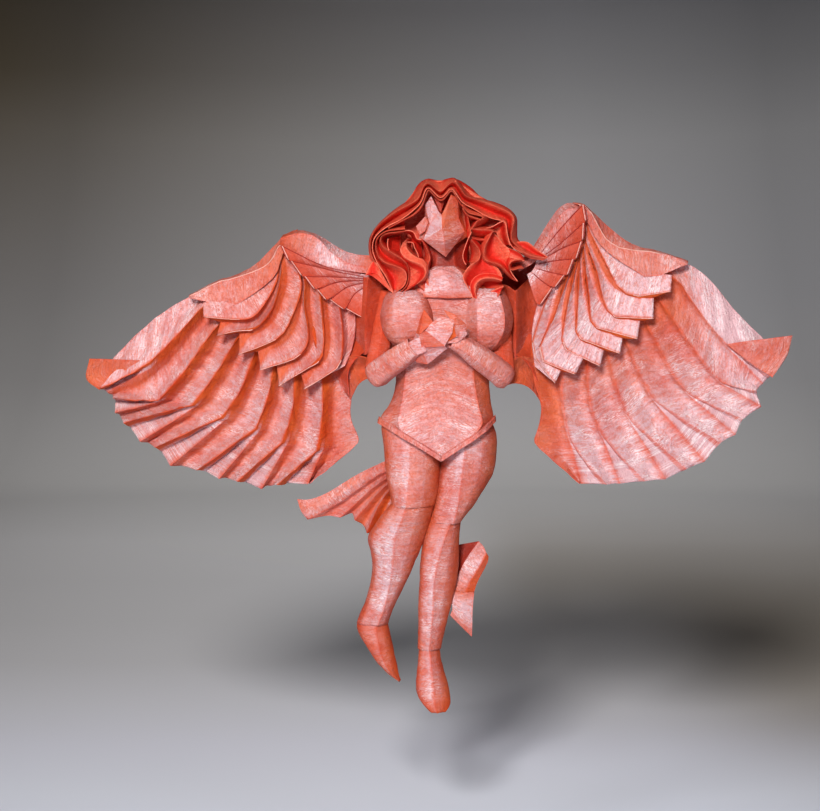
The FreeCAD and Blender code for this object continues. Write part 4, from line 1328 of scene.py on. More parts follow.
@dataclass
class Legs:
    """Both legs, each a thigh, a shin with a hem at the ankle, and a pointed foot."""

    legs: tuple[Leg, ...] = (
        Leg("thigh_straight", (
            (109, 3.6, 13, 22, -8.6, 8), (104, 3.6, 12.4, 23.8, -9.8, 8.2), (97, 3.6, 11.8, 24, -10.2, 8),
            (90, 3.2, 11, 23, -9.6, 7),
            (85, 2.2, 10.4, 20, -9, 6), (79, 0.6, 9.6, 16.2, -8.3, 5), (74.4, -0.7, 8.6, 12.6, -7.7, 4.4),
            (71.6, -1.5, 8, 10.6, -7.3, 4),
        ), rows=62, pearl_and_sheen=(1.4, 1.2, 0.8, 0.7)),
        Leg("shin_straight", (
            (73.6, -0.9, 7.4, 10.8, -7, 4), (68.4, -2.3, 5.6, 10.3, -6.7, 4.6),
            (62, -3.6, 3.4, 10, -6.2, 5), (55, -4.1, 1.6, 9.9, -5.7, 5.4),
            (50, -4.4, 0.8, 9.4, -5.2, 5.5), (42, -4.8, 0.4, 7.6, -4.6, 5.1), (35, -5, 0.1, 6, -4.1, 4.7),
            (27, -5.2, -0.6, 4.2, -3.6, 4.4),
            (23, -5.2, -1, 3.3, -3.3, 4.2),
        ), rows=72, pearl_and_sheen=(0.5, 0.9, 1.1, 0.8)),
        Leg("foot_straight", (
            (27, -4.2, -1, 2.6, -2.6, 3.6), (21, -4.7, -0.6, 3, -3.4, 4), (15, -5.5, 0, 4.3, -4.6, 4.4),
            (9, -6, 0.6, 6, -6.2, 3.8),
            (5.4, -5.2, 0.8, 6.9, -7, 2), (2.6, -3, 1.2, 7, -7.6, -1), (0.3, -0.4, 2, 5.2, -7.9, -5),
        ), rows=40, pearl_and_sheen=(0.4, 0.8, 0.8, 0.1)),
        Leg("thigh_bent", (
            (110, -18, -8, 2.2, -8.8, 7), (107, -18.8, -8, 2.6, -9.4, 7.5),
            (100, -17.6, -8, 3.1, -10.4, 7), (93, -17.4, -8.2, 3, -11, 6),
            (88, -16.8, -8.6, 2.6, -11.6, 5), (84, -15.7, -9, 2.2, -12.2, 3.4),
            (80.6, -15, -9.5, 1.3, -12.5, 2), (78.4, -14.8, -9.8, 0.8, -12.6, 1.4),
        ), rows=56, ridge_kind=Crease.SOFT, pearl_and_sheen=(1.0, 0.8, 1.0, 0.7)),
        Leg("shin_bent", (
            (81.6, -11.8, -8.8, 0.9, -12.4, 0), (78, -16, -10, 0.3, -12.5, 1.6),
            (74.6, -18.6, -10.8, -0.4, -12.3, 2), (71, -21, -12.4, -1.4, -11.4, 3),
            (67, -23.8, -13.8, -2.6, -10.6, 4),
            (64, -24.1, -14.2, -3.4, -9.8, 4.6), (60, -22.7, -14.4, -4.8, -8.8, 5),
            (55, -22, -14.8, -7, -7.6, 5), (47, -23, -16, -10.4, -5.8, 5.6),
            (40, -25, -17.6, -13.8, -4.6, 6.2), (35, -27.6, -19.4, -16, -3.6, 7),
            (32.4, -28.2, -20.4, -16.6, -3, 7.6),
        ), rows=66, pearl_and_sheen=(0.4, 1.0, 1.4, 1.2, 0.8)),
        Leg("foot_bent", (
            (36.4, -26, -20.4, -17.2, -2.2, 7), (32.6, -28.4, -21, -16.6, -2.8, 7.6),
            (28.6, -27.6, -20.6, -15.8, -3.6, 7), (24, -24.4, -19.6, -14.8, -4.6, 5.8),
            (19.6, -21.6, -18, -13.8, -5.6, 4), (16.6, -19, -16.6, -13, -6.4, 2),
            (14, -15.6, -14.4, -12.4, -7, -1.6), (12.2, -12.6, -12.2, -11.8, -7.4, -4),
        ), rows=44, pearl_and_sheen=(0.4, 0.4, 0.3, 0.1)),
    )

    def build(self, papers: dict[Paper, bpy.types.Material]) -> None:
        """Make both legs.

        Args:
            papers: the material of each paper.
        """
        for count, leg in enumerate(self.legs):
            leg.build(papers[Paper.BRUSHED], 91.0 + 2 * count)


@dataclass
class Ribbons:
    """The pleated ribbon blown out beside the bent leg, and the twisted one by the other."""

    left: tuple[tuple[Point3, ...], ...] = (
        ((-12, -8.6, 95.4), (-17, -3, 95), (-22, 1, 92), (-28, 3, 89), (-35, 3.6, 84.4),
         (-41, 4.4, 80.6), (-47, 4.4, 78.8), (-50.6, 3, 79.6)),
        ((-12, -8.8, 94), (-17, -3.6, 93), (-22, 0.4, 90), (-30, 1.6, 84.6), (-36, 2.4, 80.2),
         (-42, 3, 76.4), (-49, 3.2, 74.6)),
        ((-12, -8.8, 92.4), (-17, -3.4, 91.4), (-23, 1.6, 87), (-29, 2.6, 82.4), (-35, 3.4, 78),
         (-41, 3.8, 74.6), (-46.8, 3.8, 71.6)),
        ((-12, -8, 91.6), (-17, -1.4, 90), (-23, 4, 85), (-29, 5, 80), (-34, 5.6, 76), (-38.8, 5.6, 72.8)),
        ((-12, -9, 91), (-17, -3.6, 88.4), (-22.6, 1.6, 83.6), (-27.4, 2.4, 79), (-31.4, 3, 75),
         (-34.6, 3.4, 72.4)),
        ((-12, -8, 90.2), (-16.4, -1.2, 87), (-21.4, 3.6, 82), (-26, 4.6, 77.6), (-30, 5.2, 73.8)),
        ((-12, -9.2, 89.4), (-16.4, -4, 86.4), (-20.6, 0.4, 81.6), (-25.2, 1.6, 76), (-29, 2.4, 71.6)),
        ((-12, -8.2, 88), (-15.6, -1.6, 85), (-19.2, 2.6, 80), (-22.8, 3.6, 75), (-26, 4.6, 69.6)),
        ((-12, -9.6, 87), (-15.8, -5, 84), (-18.6, -1.4, 80), (-21.4, -0.6, 74.4), (-24.4, 0.2, 67)),
        ((-11.8, -8.6, 86), (-14.2, -3, 83), (-16.4, 0.6, 79), (-18.8, 1.6, 73.6), (-21.4, 2, 67.4)),
        ((-11.6, -10, 85), (-13.8, -6, 82), (-15.2, -3.6, 78), (-16.8, -2.4, 74), (-18.2, -1.6, 70.6)),
    )
    right: tuple[tuple[str, Paper, tuple[float, ...], tuple[tuple[Point3, ...], ...]], ...] = (
        # The inner face takes the deep-shade copy, as painted shade.
        ("ribbon_right_inner", Paper.DEEP_SHADE, (0.1,), (
            ((3, 5.4, 60.4), (5, 5.6, 53), (5, 4.6, 46)),
            ((11, 7.4, 61.6), (8.6, 7.2, 54), (7, 5.4, 46)),
            ((17.8, 6.4, 63), (13.4, 5.6, 56.6), (10, 4.4, 50), (8.2, 3.6, 45.4)))),
        ("ribbon_right", Paper.BRUSHED, (0.9, 1.3, 0.9, 0.3), (
            ((17.7, 6.2, 63), (13, 5.4, 56.6), (9.6, 4.2, 50), (7.8, 3.4, 44.6)),
            ((19.6, 4.6, 61), (16, 3.6, 54.6), (12.4, 3, 48.6), (10, 2.8, 43.9)),
            ((20.6, 4, 58.8), (18, 3.2, 53.6), (14.4, 2.8, 48), (12.6, 2.6, 43.6)),
            ((21.3, 4.8, 57.5), (20.9, 5, 54.6), (17, 4, 47.8), (15.8, 3.6, 43.8)))),
        ("ribbon_right_tail", Paper.BRUSHED, (0.4, 1.2, 1.5, 0.9, 0.5), (
            ((7.8, 3, 44.8), (6.1, 2.2, 42.3), (8.1, 2.4, 38.6), (6.9, 2.6, 35.3)),
            ((11.6, 2.2, 44.2), (11, 1.4, 40), (11.2, 1.6, 36), (11, 2.2, 31.2)),
            ((15.9, 3.2, 44.2), (15.3, 2.2, 38), (15.2, 2.4, 33), (15.1, 3.2, 26.9)))),
    )

    def build(self, papers: dict[Paper, bpy.types.Material]) -> None:
        """Make both ribbons.

        Args:
            papers: the material of each paper.
        """
        folds = pleat(self.left, 56, 2)
        # Ridges take full pearl as painted highlight; valleys take less, falling off down the ribbon, as
        # painted shade.
        for count, fold in enumerate(folds):
            fold.pearl = 1.0 if fold.kind is Crease.CRISP else max(0.0, 0.7 - 0.08 * count)
            fold.beyond = max(0.0, 0.9 - 0.1 * count)
        Sheet("ribbon_left", folds, papers[Paper.BRUSHED], grain=FINE,
              pearl_and_sheen=(0.4, 0.7, 0.8, 0.7)).build(103.0)
        for count, (label, paper, pearl_and_sheen, lines) in enumerate(self.right):
            folds = pleat(lines, 26, 1)
            # Its last band takes little pearl, as painted shade.
            if label == "ribbon_right":
                folds[2].beyond, folds[3].pearl, folds[3].kind = 0.1, 0.1, Crease.CRISP
            Sheet(label, folds, papers[paper], grain=FINE, sign=-1,
                  pearl_and_sheen=pearl_and_sheen).build(107.0 + 2 * count)


# ---- Hair -----------------------------------------------------------------------------------
@dataclass(frozen=True)
class Lock:
    """A curled lock of hair: paper stretched over rims with the same number of corners.

    A rim is an edge or hollow of the curl: where it runs seen from the front, as x, z, x, z and so
    on, and how far back it lies along the way.
    """

    name: str
    creases: str                    # one letter for each rim: C for crisp, S for soft
    rows: int
    rims: tuple[tuple[tuple[float, ...], tuple[float, ...]], ...]

    def sheet(self, material: bpy.types.Material) -> Sheet:
        """Make the lock's sheet.

        Args:
            material: the paper.

        Returns:
            The sheet, whose rows join matching corners of its rims.
        """
        corners = [round_corners(np.array(path, dtype=float).reshape(-1, 2), 2) for path, _ in self.rims]
        steps = np.mean([np.linalg.norm(np.diff(path, axis=0), axis=1) for path in corners], axis=0)
        along = np.concatenate([[0.0], np.cumsum(steps)])
        wanted = np.linspace(0.0, along[-1], self.rows)
        share = wanted / along[-1]
        folds = []
        for letter, (_, depths), path in zip(self.creases, self.rims, corners):
            kind = Crease(letter)
            back = np.interp(share, np.linspace(0.0, 1.0, len(depths)), depths)
            across, up = (np.interp(wanted, along, column) for column in path.T)
            lit = 1.0 if kind is Crease.CRISP else 0.0
            folds.append(Fold(np.stack([across, back, up], axis=1), kind, pearl=lit, beyond=lit))
        return Sheet(self.name, folds, material, grain=0.55, thickness=0.26, crumpled=0.07, broad=0.1)


LOCKS = (
    Lock("hood_outer", "SCSC", 150, (
        ((-14.6, 157.5, -18.9, 163.3, -22.9, 169.4, -23.7, 174, -22.9, 178.5, -19.6, 182.9, -13.3, 188.3,
          -8.9, 190.8, -7.1, 193.8, -4.9, 197.4, -2, 199.2, 0.4, 198.7, 2.7, 198.1, 4.9, 198.7, 7.8, 199.5,
          9.3, 198.5, 11.6, 195.8, 13.8, 192.5, 18.7, 191.6, 26.2, 189.4, 31.1, 185.8, 31.3, 181.1,
          31.2, 177.1, 32.9, 175.4, 36, 173.6), (3, 1, 0, 1, 3, 1, 0, 0, 2)),
        ((-14.3, 157.3, -18, 163.4, -22, 169.7, -23.1, 174, -22.3, 178.9, -19.1, 182.9, -12.9, 187.6,
          -8.5, 189.6, -4.9, 191.8, -3.5, 196.3, -1.6, 197.9, 0.7, 195.8, 2.9, 194, 4.9, 196.2, 7, 198.1,
          8.9, 197.6, 10.7, 194.9, 12.2, 192.5, 16.5, 191.5, 24, 188.9, 30.2, 185.8, 29.4, 181.1,
          28.6, 177.6, 30.2, 174.9, 33.6, 172.7), (-7, -7, -6, -6, -8, -8, -8, -6, -6, -6, -7)),
        ((-14.2, 157.2, -17.5, 163.6, -21.3, 169.4, -22.6, 174, -21.6, 178.6, -17.8, 182.3, -11.8, 186,
          -7.7, 188.5, -4.5, 191, -3, 195.7, -1.4, 196.8, 0.7, 194.8, 2.9, 192.8, 4.8, 194.6, 6.5, 196.6,
          8.2, 196.3, 9.9, 193.6, 11.5, 191.3, 15.7, 189.7, 22.3, 186.6, 28, 184.8, 28.1, 181.1,
          28.1, 177.3, 29.5, 174.4, 33.3, 172.2), (-5, -3, -2, -2, -4, -4, -4, -2, -2, -2, -4)),
        ((-14.2, 157.1, -17.1, 163.8, -20.7, 169.1, -22.2, 174, -21, 178.3, -16.7, 181.8, -10.9, 184.6,
          -7.1, 187.6, -4.1, 190.4, -2.7, 195.2, -1.3, 196, 0.7, 194, 2.9, 191.8, 4.7, 193.4, 6.1, 195.4,
          7.6, 195.3, 9.3, 192.5, 10.9, 190.3, 15.1, 188.3, 20.9, 184.7, 26.2, 183.9, 27, 181.1,
          27.7, 177.1, 28.9, 174, 33.1, 171.8), (-8, -9, -8, -9, -10, -10, -10, -9, -8, -9, -8)))),
    Lock("hood_inner", "SCS", 80, (
        ((-16.5, 181.5, -10.7, 184.4, -6.9, 186.8, -3.9, 189.8, -2.4, 194.5, -1.4, 195.7, 0.6, 193.5,
          2.9, 191.3, 4.8, 192.9, 6.2, 195.1, 7.5, 194.9, 9.2, 192.1, 10.8, 189.8, 14.5, 187.6),
         (-4, -5, -5, -5, -4)),
        ((-16.2, 181.1, -10.6, 184.2, -6.7, 186, -3.8, 189.2, -2.2, 193.8, -1.4, 195.4, 0.5, 193,
          2.9, 190.8, 4.8, 192.4, 6.4, 194.8, 7.5, 194.6, 9.2, 191.7, 10.6, 189.2, 13.8, 186.9),
         (-9, -11, -11.5, -11, -9)),
        ((-15.7, 180.7, -10.2, 183.7, -6.4, 185.5, -3.6, 188.7, -2, 193.4, -1.3, 194.9, 0.6, 192.5,
          2.9, 190.3, 4.8, 191.9, 6.2, 194.4, 7.3, 194.1, 9, 191.2, 10.4, 188.8, 13.5, 186.5),
         (-3, -4, -4, -4, -3)))),
    Lock("curl_left_outer", "CSCSCS", 64, (
        ((-10.7, 184.6, -12.9, 183.6, -16.7, 181.8, -21, 178.3, -22, 175.8, -22, 173.1, -21.3, 170.7,
          -20, 168, -18.7, 165.9, -17.4, 164.2, -16.4, 162.2, -15.5, 160.2, -14.8, 158.7, -14.2, 157.2),
         (-9, -9.5, -9, -9, -8)),
        ((-10.1, 182.5, -12.9, 181.9, -16.9, 180.9, -20.2, 178.8, -21.4, 175.9, -21.3, 172.7, -20.3, 169.8,
          -18.2, 167.6, -16.1, 165.6, -14.8, 163.8, -14.2, 162, -14, 160.2, -14, 158.9, -14, 157.3),
         (-4, -4, -4.5, -5, -6)),
        ((-10.1, 180.9, -13.3, 180.6, -16.7, 180.2, -19.6, 178.5, -20.9, 176, -20.6, 172.9, -19.4, 170,
          -16.9, 168.3, -13.3, 167.4, -10.7, 166.4, -9.4, 164.7, -9.5, 161.6, -10.9, 159.4, -13.6, 157.7),
         (-10, -10, -10, -11, -11, -9)),
        ((-9.6, 180.3, -12.9, 180, -16.2, 179.7, -19.1, 178.3, -20.1, 176.2, -19.6, 173.6, -18, 171.4,
          -15.6, 169.6, -12.5, 168.5, -10.1, 167.4, -9, 165.1, -9.1, 161.8, -10.3, 159.1, -12.9, 157.6),
         (-5, -5, -5, -6, -6)),
        ((-9.5, 180.3, -12.9, 179.7, -16.5, 179.4, -18.7, 178.5, -19.1, 176.3, -18.2, 174.6, -16.7, 173.4,
          -14, 171.8, -11.3, 170.2, -9.6, 168.6, -8.7, 166.9, -8.7, 162.9, -9.6, 159.8, -11.6, 158),
         (-11, -11, -11, -12, -12, -10)),
        ((-9.5, 179.7, -12.5, 178.9, -15.1, 178.5, -17.1, 177.6, -17.4, 176.3, -16.2, 174.7, -14.9, 173.8,
          -12.7, 172.3, -10.5, 170.9, -8.7, 169.4, -7.7, 166.9, -7.8, 162.9, -8.7, 159.8, -10.9, 158),
         (-5, -4, -3, -3, -5, -7)))),
    Lock("spur_left", "CSS", 20, (
        ((-16.2, 177.3, -16.5, 175.8, -16.4, 174, -15.6, 172.6, -14, 171.5), (-10.5,)),
        ((-15.1, 177.6, -15.1, 175.8, -14.8, 174, -14, 172.7, -12.9, 171.4), (-5,)),
        ((-11.6, 178.5, -11.8, 176.3, -11.8, 174, -11.8, 172.3, -11.6, 170.7), (-2,)))),
    Lock("curl_left_lower", "SCCSC", 48, (
        ((-7.6, 176.7, -8.2, 174.9, -7.8, 173.4, -6.7, 171.8, -4.9, 170.5, -2.8, 169.4, -1.5, 168,
          -1.1, 166, -1.3, 163.4, -2.5, 161.1), (-3, -4, -5)),
        ((-9.1, 177.6, -9.8, 175.8, -9.6, 174, -8.2, 172, -6, 170.5, -3.6, 169.7, -2.5, 168.5, -1.8, 166.8,
          -1.9, 164.5, -3.1, 162.2), (-10, -11, -11)),
        ((-9.1, 177.6, -10.9, 175.8, -12, 173.4, -11, 171.3, -8.4, 169.5, -5.3, 168.6, -3.1, 167.4,
          -2.2, 165.5, -3, 163.1, -5.4, 161.2), (-11, -12.5, -12.5)),
        ((-9, 176.9, -11.2, 174.9, -12.1, 171.8, -10.7, 169.4, -7.6, 167.4, -5.3, 166.5, -4, 165.4,
          -3.8, 164, -4.9, 162, -7.3, 160), (-9, -10, -10.5)),
        ((-8.7, 175.8, -10.9, 173.6, -11.3, 170.7, -9.8, 168.5, -8.5, 166.5, -8.4, 164.2, -8.4, 162.2,
          -8.6, 160.5, -9.3, 159.1, -10.7, 157.9), (-6, -8, -9)))),
    Lock("loop_left", "CSS", 20, (
        ((-9.7, 176, -7.1, 176.2, -6.6, 174, -5.3, 171.7, -5.1, 170.3), (-9.5,)),
        ((-8.5, 175.8, -6.4, 176, -5.8, 174, -4.6, 171.8, -4.2, 170.3), (-5,)),
        ((-7.6, 177.6, -4.9, 176.3, -4, 174, -3.6, 171.8, -3.3, 170), (-2,)))),
    Lock("drip_left", "CSS", 22, (
        ((-10, 180.4, -7.6, 180.3, -6.4, 179.4, -6, 177.6, -5.3, 177.1, -4, 176.9), (-10.5,)),
        ((-9.9, 179.9, -7.9, 179.6, -6.9, 178.7, -6.4, 177.2, -5.5, 176.4, -4, 176.4), (-7,)),
        ((-9.7, 179.4, -8.3, 178.9, -7.4, 177.8, -6.8, 176.3, -5.8, 175.6, -4, 175.8), (-3,)))),
    Lock("nape_left", "SCS", 44, (
        ((-4, 177.6, -3.1, 174, -2.6, 171.4, -2.7, 169.4, -3.8, 166.9, -4.6, 164.7, -5.2, 162.5,
          -5.3, 160.9, -5.4, 160), (-3, -4, -6)),
        ((-4.2, 176.9, -2.2, 174, -1.2, 171.8, -0.8, 170.1, -1.7, 167.9, -2, 164.7, -1.8, 161.6,
          -0.8, 158.7, 0.4, 156.1), (-10, -10, -9)),
        ((-3.3, 177.6, -1.3, 174.5, -0.2, 171.8, 0, 170, -0.7, 167.8, -0.9, 164.7, -0.8, 161.6, 0, 158.7,
          0.7, 156.2), (-2, -2, -5)))),
    Lock("point_left", "CSCSC", 24, (
        ((-2.2, 164.8, -1.8, 162.5, -1.2, 160, 0.3, 156.1), (-9.5, -9)),
        ((-3.8, 162.9, -2.8, 160.9, -1.5, 158.7, 0.4, 156.1), (-8, -8.5)),
        ((-5.5, 161.1, -4.2, 159.7, -2, 157.8, 0.4, 156.1), (-10, -9)),
        ((-5.8, 160.7, -5.3, 158.7, -3.1, 157.3, 0.4, 156.1), (-6, -8)),
        ((-10.7, 158, -7.6, 157.4, -4.5, 156.9, 0.4, 155.9), (-9, -8.5)))),
    Lock("wisp_left", "CSC", 26, (
        ((-21.6, 169.2, -23.3, 166.9, -24.6, 163.9, -24.6, 163.9, -24.6, 163.9), (-5, -5)),
        ((-21.3, 168.7, -21.4, 166.9, -21.3, 164.6, -21.8, 164.6, -23.6, 164.2), (-5.5, -7)),
        ((-20.9, 168.5, -19.1, 165.6, -17.4, 162.2, -15.6, 159.4, -14.2, 157.2), (-7, -9)))),
    Lock("temple_right_1", "SCS", 36, (
        ((11.3, 190.7, 14, 188.4, 17.6, 187.4, 20.5, 186.3, 21.3, 184.7, 20, 183.1, 18.2, 182,
          16.5, 180.3), (-4, -3)),
        ((10.7, 189.5, 12.9, 186.6, 15.8, 186, 18.2, 185.5, 18.4, 184.7, 16.5, 184.2, 15.3, 182.5,
          14.1, 180.8), (-10, -11.5, -11)),
        ((11, 189.2, 12.7, 186.3, 15.3, 185.5, 17.6, 185.1, 17.6, 184.6, 16, 184.4, 14.9, 182.9,
          13.9, 181.1), (-5, -5)))),
    Lock("temple_right_2", "SCS", 22, (
        ((11.2, 189.2, 12.9, 186.4, 15.3, 185.6, 17.8, 184.9), (-5,)),
        ((10.9, 188.4, 12.4, 185.9, 15.1, 185, 17.6, 184.1), (-11.5,)),
        ((11.1, 187.8, 12.2, 185.1, 14.7, 184, 16.5, 183.6), (-5,)))),
    Lock("temple_right_3", "SCSC", 26, (
        ((14, 181.6, 17.3, 181.6, 20.9, 181.6, 22.7, 180.7), (-3, -3)),
        ((14.1, 181, 17.3, 180.8, 20.9, 180.7, 22.4, 179.9), (-11, -12)),
        ((14.5, 180.3, 17.3, 179.5, 20.2, 179.5, 21.8, 179.3), (-9, -10)),
        ((15.1, 178.5, 17.6, 177.8, 19.8, 177.8, 20.9, 177.6), (-4, -4)))),
    Lock("temple_right_4", "SCS", 20, (
        ((14, 178.3, 16, 177.6, 18.2, 177.4, 20.5, 177.5), (-4,)),
        ((14.5, 177.6, 16, 177, 18.2, 176.9, 20.3, 176.8), (-9.5,)),
        ((16, 176.3, 17.1, 175.6, 18.5, 175.3, 19.7, 174.9), (-4,)))),
    Lock("temple_right_5", "SCS", 22, (
        ((14, 184.7, 12.9, 183.4, 12.5, 181.1, 12.9, 178.5, 13.8, 176.3), (-5,)),
        ((12.7, 185.8, 13.3, 183.4, 13.9, 181.1, 14, 179.4, 13.3, 177.6), (-9.5,)),
        ((12, 185.6, 12.2, 183.4, 12.4, 181.1, 12.5, 179.4, 12.5, 177.6), (-4,)))),
    Lock("petal_right", "SCSC", 52, (
        ((20.9, 180.3, 18.7, 177.6, 17.6, 174.9, 17.3, 171.8, 17.8, 169.4, 19.6, 168, 22.2, 167.4,
          24.5, 166.7, 26.5, 164.7, 28.5, 162.7, 30.7, 161.8), (-7, -7, -9)),
        ((21.7, 179.7, 20.5, 177.6, 19.1, 174.9, 18.5, 172.3, 18.8, 170, 20.1, 169.1, 22.7, 168.6,
          25.1, 167.6, 27.1, 165.4, 28.9, 163.1, 31, 161.9), (-12, -12.5, -12)),
        ((22.1, 179.5, 21.9, 177.4, 21.6, 174.9, 21.4, 172.3, 22.2, 170.8, 23.9, 169.9, 25.6, 169.2,
          26.9, 167.8, 27.8, 166, 29, 163.9, 31, 161.9), (-8, -6, -9)),
        ((22.3, 179.5, 24, 177.5, 25.8, 175.4, 27.4, 174.1, 28.9, 173.1, 29.4, 171.8, 28.8, 170.7,
          27.8, 169.1, 27.6, 167.4, 28.8, 164.7, 31, 161.9), (-9, -9, -11, -12)))),
    Lock("bay_right", "CSC", 36, (
        ((19.6, 181.3, 21.8, 181.6, 24, 183.1, 26.2, 184, 27, 182.5, 27.1, 179.4, 27.8, 176.7,
          28.5, 174.9), (-9,)),
        ((20, 180.7, 21.8, 180.7, 23.6, 181.6, 24.9, 182, 25.4, 180.7, 25.6, 178.5, 26.2, 176.3,
          27.1, 174.5), (-5,)),
        ((20.9, 180, 22, 180, 22.9, 180.3, 23.5, 179.8, 23.8, 178.5, 24.5, 177.1, 25.6, 175.6, 26.7, 174),
         (-4,)))),
    Lock("curl_tip_right", "SCS", 40, (
        ((32.5, 169, 31.1, 168.8, 29.9, 168.5, 29.1, 168, 29, 167.3, 29.4, 166.8, 30.5, 167, 31.6, 167.4,
          32.6, 167.6), (-5,)),
        ((33.4, 169.5, 31.6, 169.8, 29.4, 169.6, 28, 168.5, 27.8, 167.1, 28.6, 165.8, 30.2, 166.2,
          31.6, 166.7, 33.2, 166.7), (-12.5,)),
        ((33.4, 169.8, 31.6, 171.1, 28.9, 171.8, 27.4, 170.5, 26.9, 168.2, 27.8, 166.5, 29.9, 165.9,
          31.6, 166.5, 33.3, 166.6), (-8,)))),
    Lock("curl_tip_wall", "CSC", 22, (
        ((27.4, 174, 29.9, 173.1, 32.4, 171.9, 33.5, 169.8), (-8, -10)),
        ((28.2, 172.7, 30, 171.8, 32, 170.8, 33.5, 169.4), (-10.5, -11.5)),
        ((28.2, 170.5, 29.9, 170.1, 31.6, 169.8, 33.4, 169.3), (-11, -12.5)))),
    Lock("flare_right", "CSCC", 32, (
        ((31.1, 176, 33.6, 176.3, 35.5, 175.8, 38, 173.4, 42.1, 170.6), (-3, -5, -8)),
        ((30.9, 174.9, 33.6, 174.3, 35.4, 173.1, 38.3, 171.4, 42.1, 170.4), (-3, -4, -7)),
        ((29.9, 174.4, 32.5, 172.8, 35.1, 171.4, 38.3, 170.7, 42.1, 170.3), (-8, -9, -8)),
        ((29.9, 173.6, 32.5, 171.8, 35.1, 170.4, 37.8, 169.8, 40.5, 169.4), (-6, -7, -7)))),
    Lock("s_curl_wall", "CSS", 24, (
        ((14.2, 179.8, 12.5, 176.3, 11.6, 173.6, 11, 171.4, 11.4, 169.4, 12.4, 167.8), (-9.5,)),
        ((13.6, 177.6, 12.5, 174.9, 12, 172.3, 11.8, 170.2, 12.1, 168.9, 12.6, 167.9), (-6,)),
        ((14.2, 176.7, 13.3, 174, 12.9, 171.8, 12.8, 169.8, 12.9, 168.7, 13.1, 168), (-2.5,)))),
    Lock("s_curl_right", "SCS", 26, (
        ((13.6, 176.3, 14, 174, 14.5, 171.8, 14, 169.8, 13.3, 168.5), (-4,)),
        ((14, 177, 16.3, 174.5, 17.6, 172.3, 17, 169.7, 15, 168.5), (-12,)),
        ((14.7, 177.6, 17.3, 175.4, 18.4, 172.3, 17.8, 169.6, 15.8, 167.8), (-8,)))),
    Lock("shawl_right", "CSSC", 46, (
        ((17.6, 172, 16.9, 169.7, 15.1, 168.5, 13.9, 167.9, 12.3, 166.2, 10.9, 163.8, 11.5, 161.9,
          12.9, 159.6, 14.2, 157.6, 15.1, 154.9), (-11.5, -11, -11)),
        ((18.2, 171.4, 18, 168.7, 17.1, 166.5, 16, 164.7, 14.9, 163.4, 14, 161.8, 13.8, 160.2, 14.1, 158.7,
          14.7, 157.1, 15.4, 154.7), (-9, -8, -9)),
        ((18.6, 169.8, 20.5, 168, 22.2, 166.5, 23.6, 164.7, 22.7, 163.4, 20, 163.2, 17.6, 162.6,
          15.9, 160.9, 15.3, 158.5, 15.8, 155.3), (-9, -10, -12)),
        ((18.8, 169.8, 21.8, 168.3, 24, 166.5, 25.4, 164.2, 25.6, 161.9, 22.9, 162.9, 20.2, 163.1,
          17.6, 162.4, 15.9, 160.7, 15.3, 158), (-8, -10, -12.5)))),
    Lock("trumpet_right", "SCS", 52, (
        ((24.5, 161, 22.4, 161.2, 20.3, 161.3, 19, 160.8, 18, 159.6, 17.7, 158, 18.3, 156.3, 19, 154.7,
          20.3, 153.2, 21.7, 151.8), (-5,)),
        ((25.3, 162.2, 22.4, 163, 19.7, 163.2, 17.6, 162.7, 15.8, 161.1, 15.3, 159.1, 15.9, 156.3, 17, 154,
          19.3, 151.9, 21.8, 151.4), (-12.5,)),
        ((25.7, 163.2, 22.8, 164.4, 19.7, 164.8, 16.7, 164.3, 14.6, 162.7, 13.6, 160.3, 14.3, 157.1,
          15.7, 154.7, 18.4, 152.2, 21.8, 151.1), (-10.5,)))),
    Lock("trumpet_bed", "SSC", 20, (
        ((25.2, 162, 22.4, 161.8, 19.3, 161.5, 17.9, 159.7), (-9, -5)),
        ((25.5, 161.1, 22.8, 160.4, 20, 159.4, 17.9, 157.7), (-7, -4)),
        ((26, 160.1, 23.8, 158.7, 20.3, 157.1, 18.3, 155.9), (-10, -6)))),
    Lock("trumpet_tongue", "CSCC", 22, (
        ((26, 160.1, 23.9, 159.5, 19.7, 157.3, 19.3, 156.3), (-11.5, -9.5)),
        ((25.2, 158.7, 23.7, 158, 20.7, 155.6, 19.7, 154.5), (-10.5, -9)),
        ((24.6, 157.6, 23.7, 156.3, 22.4, 153.5, 21.8, 151.4), (-12, -12.5)),
        ((24.7, 157.3, 24.2, 155.2, 23.1, 152.8, 22, 151.2), (-9, -11.5)))),
    Lock("crown_right", "SSC", 34, (
        ((6.9, 199.3, 9.3, 198.7, 11.8, 197.4, 14.9, 195.3, 18.1, 191.8), (4, 5, 6)),
        ((8, 198.8, 9.8, 197.2, 11.6, 195.4, 13.8, 193.4, 16.9, 191.6), (-1, 0, 2)),
        ((8.2, 198.5, 9.6, 196.7, 11, 194.7, 12.4, 192.6, 13.8, 191.8), (-6, -5, -4)))),
)


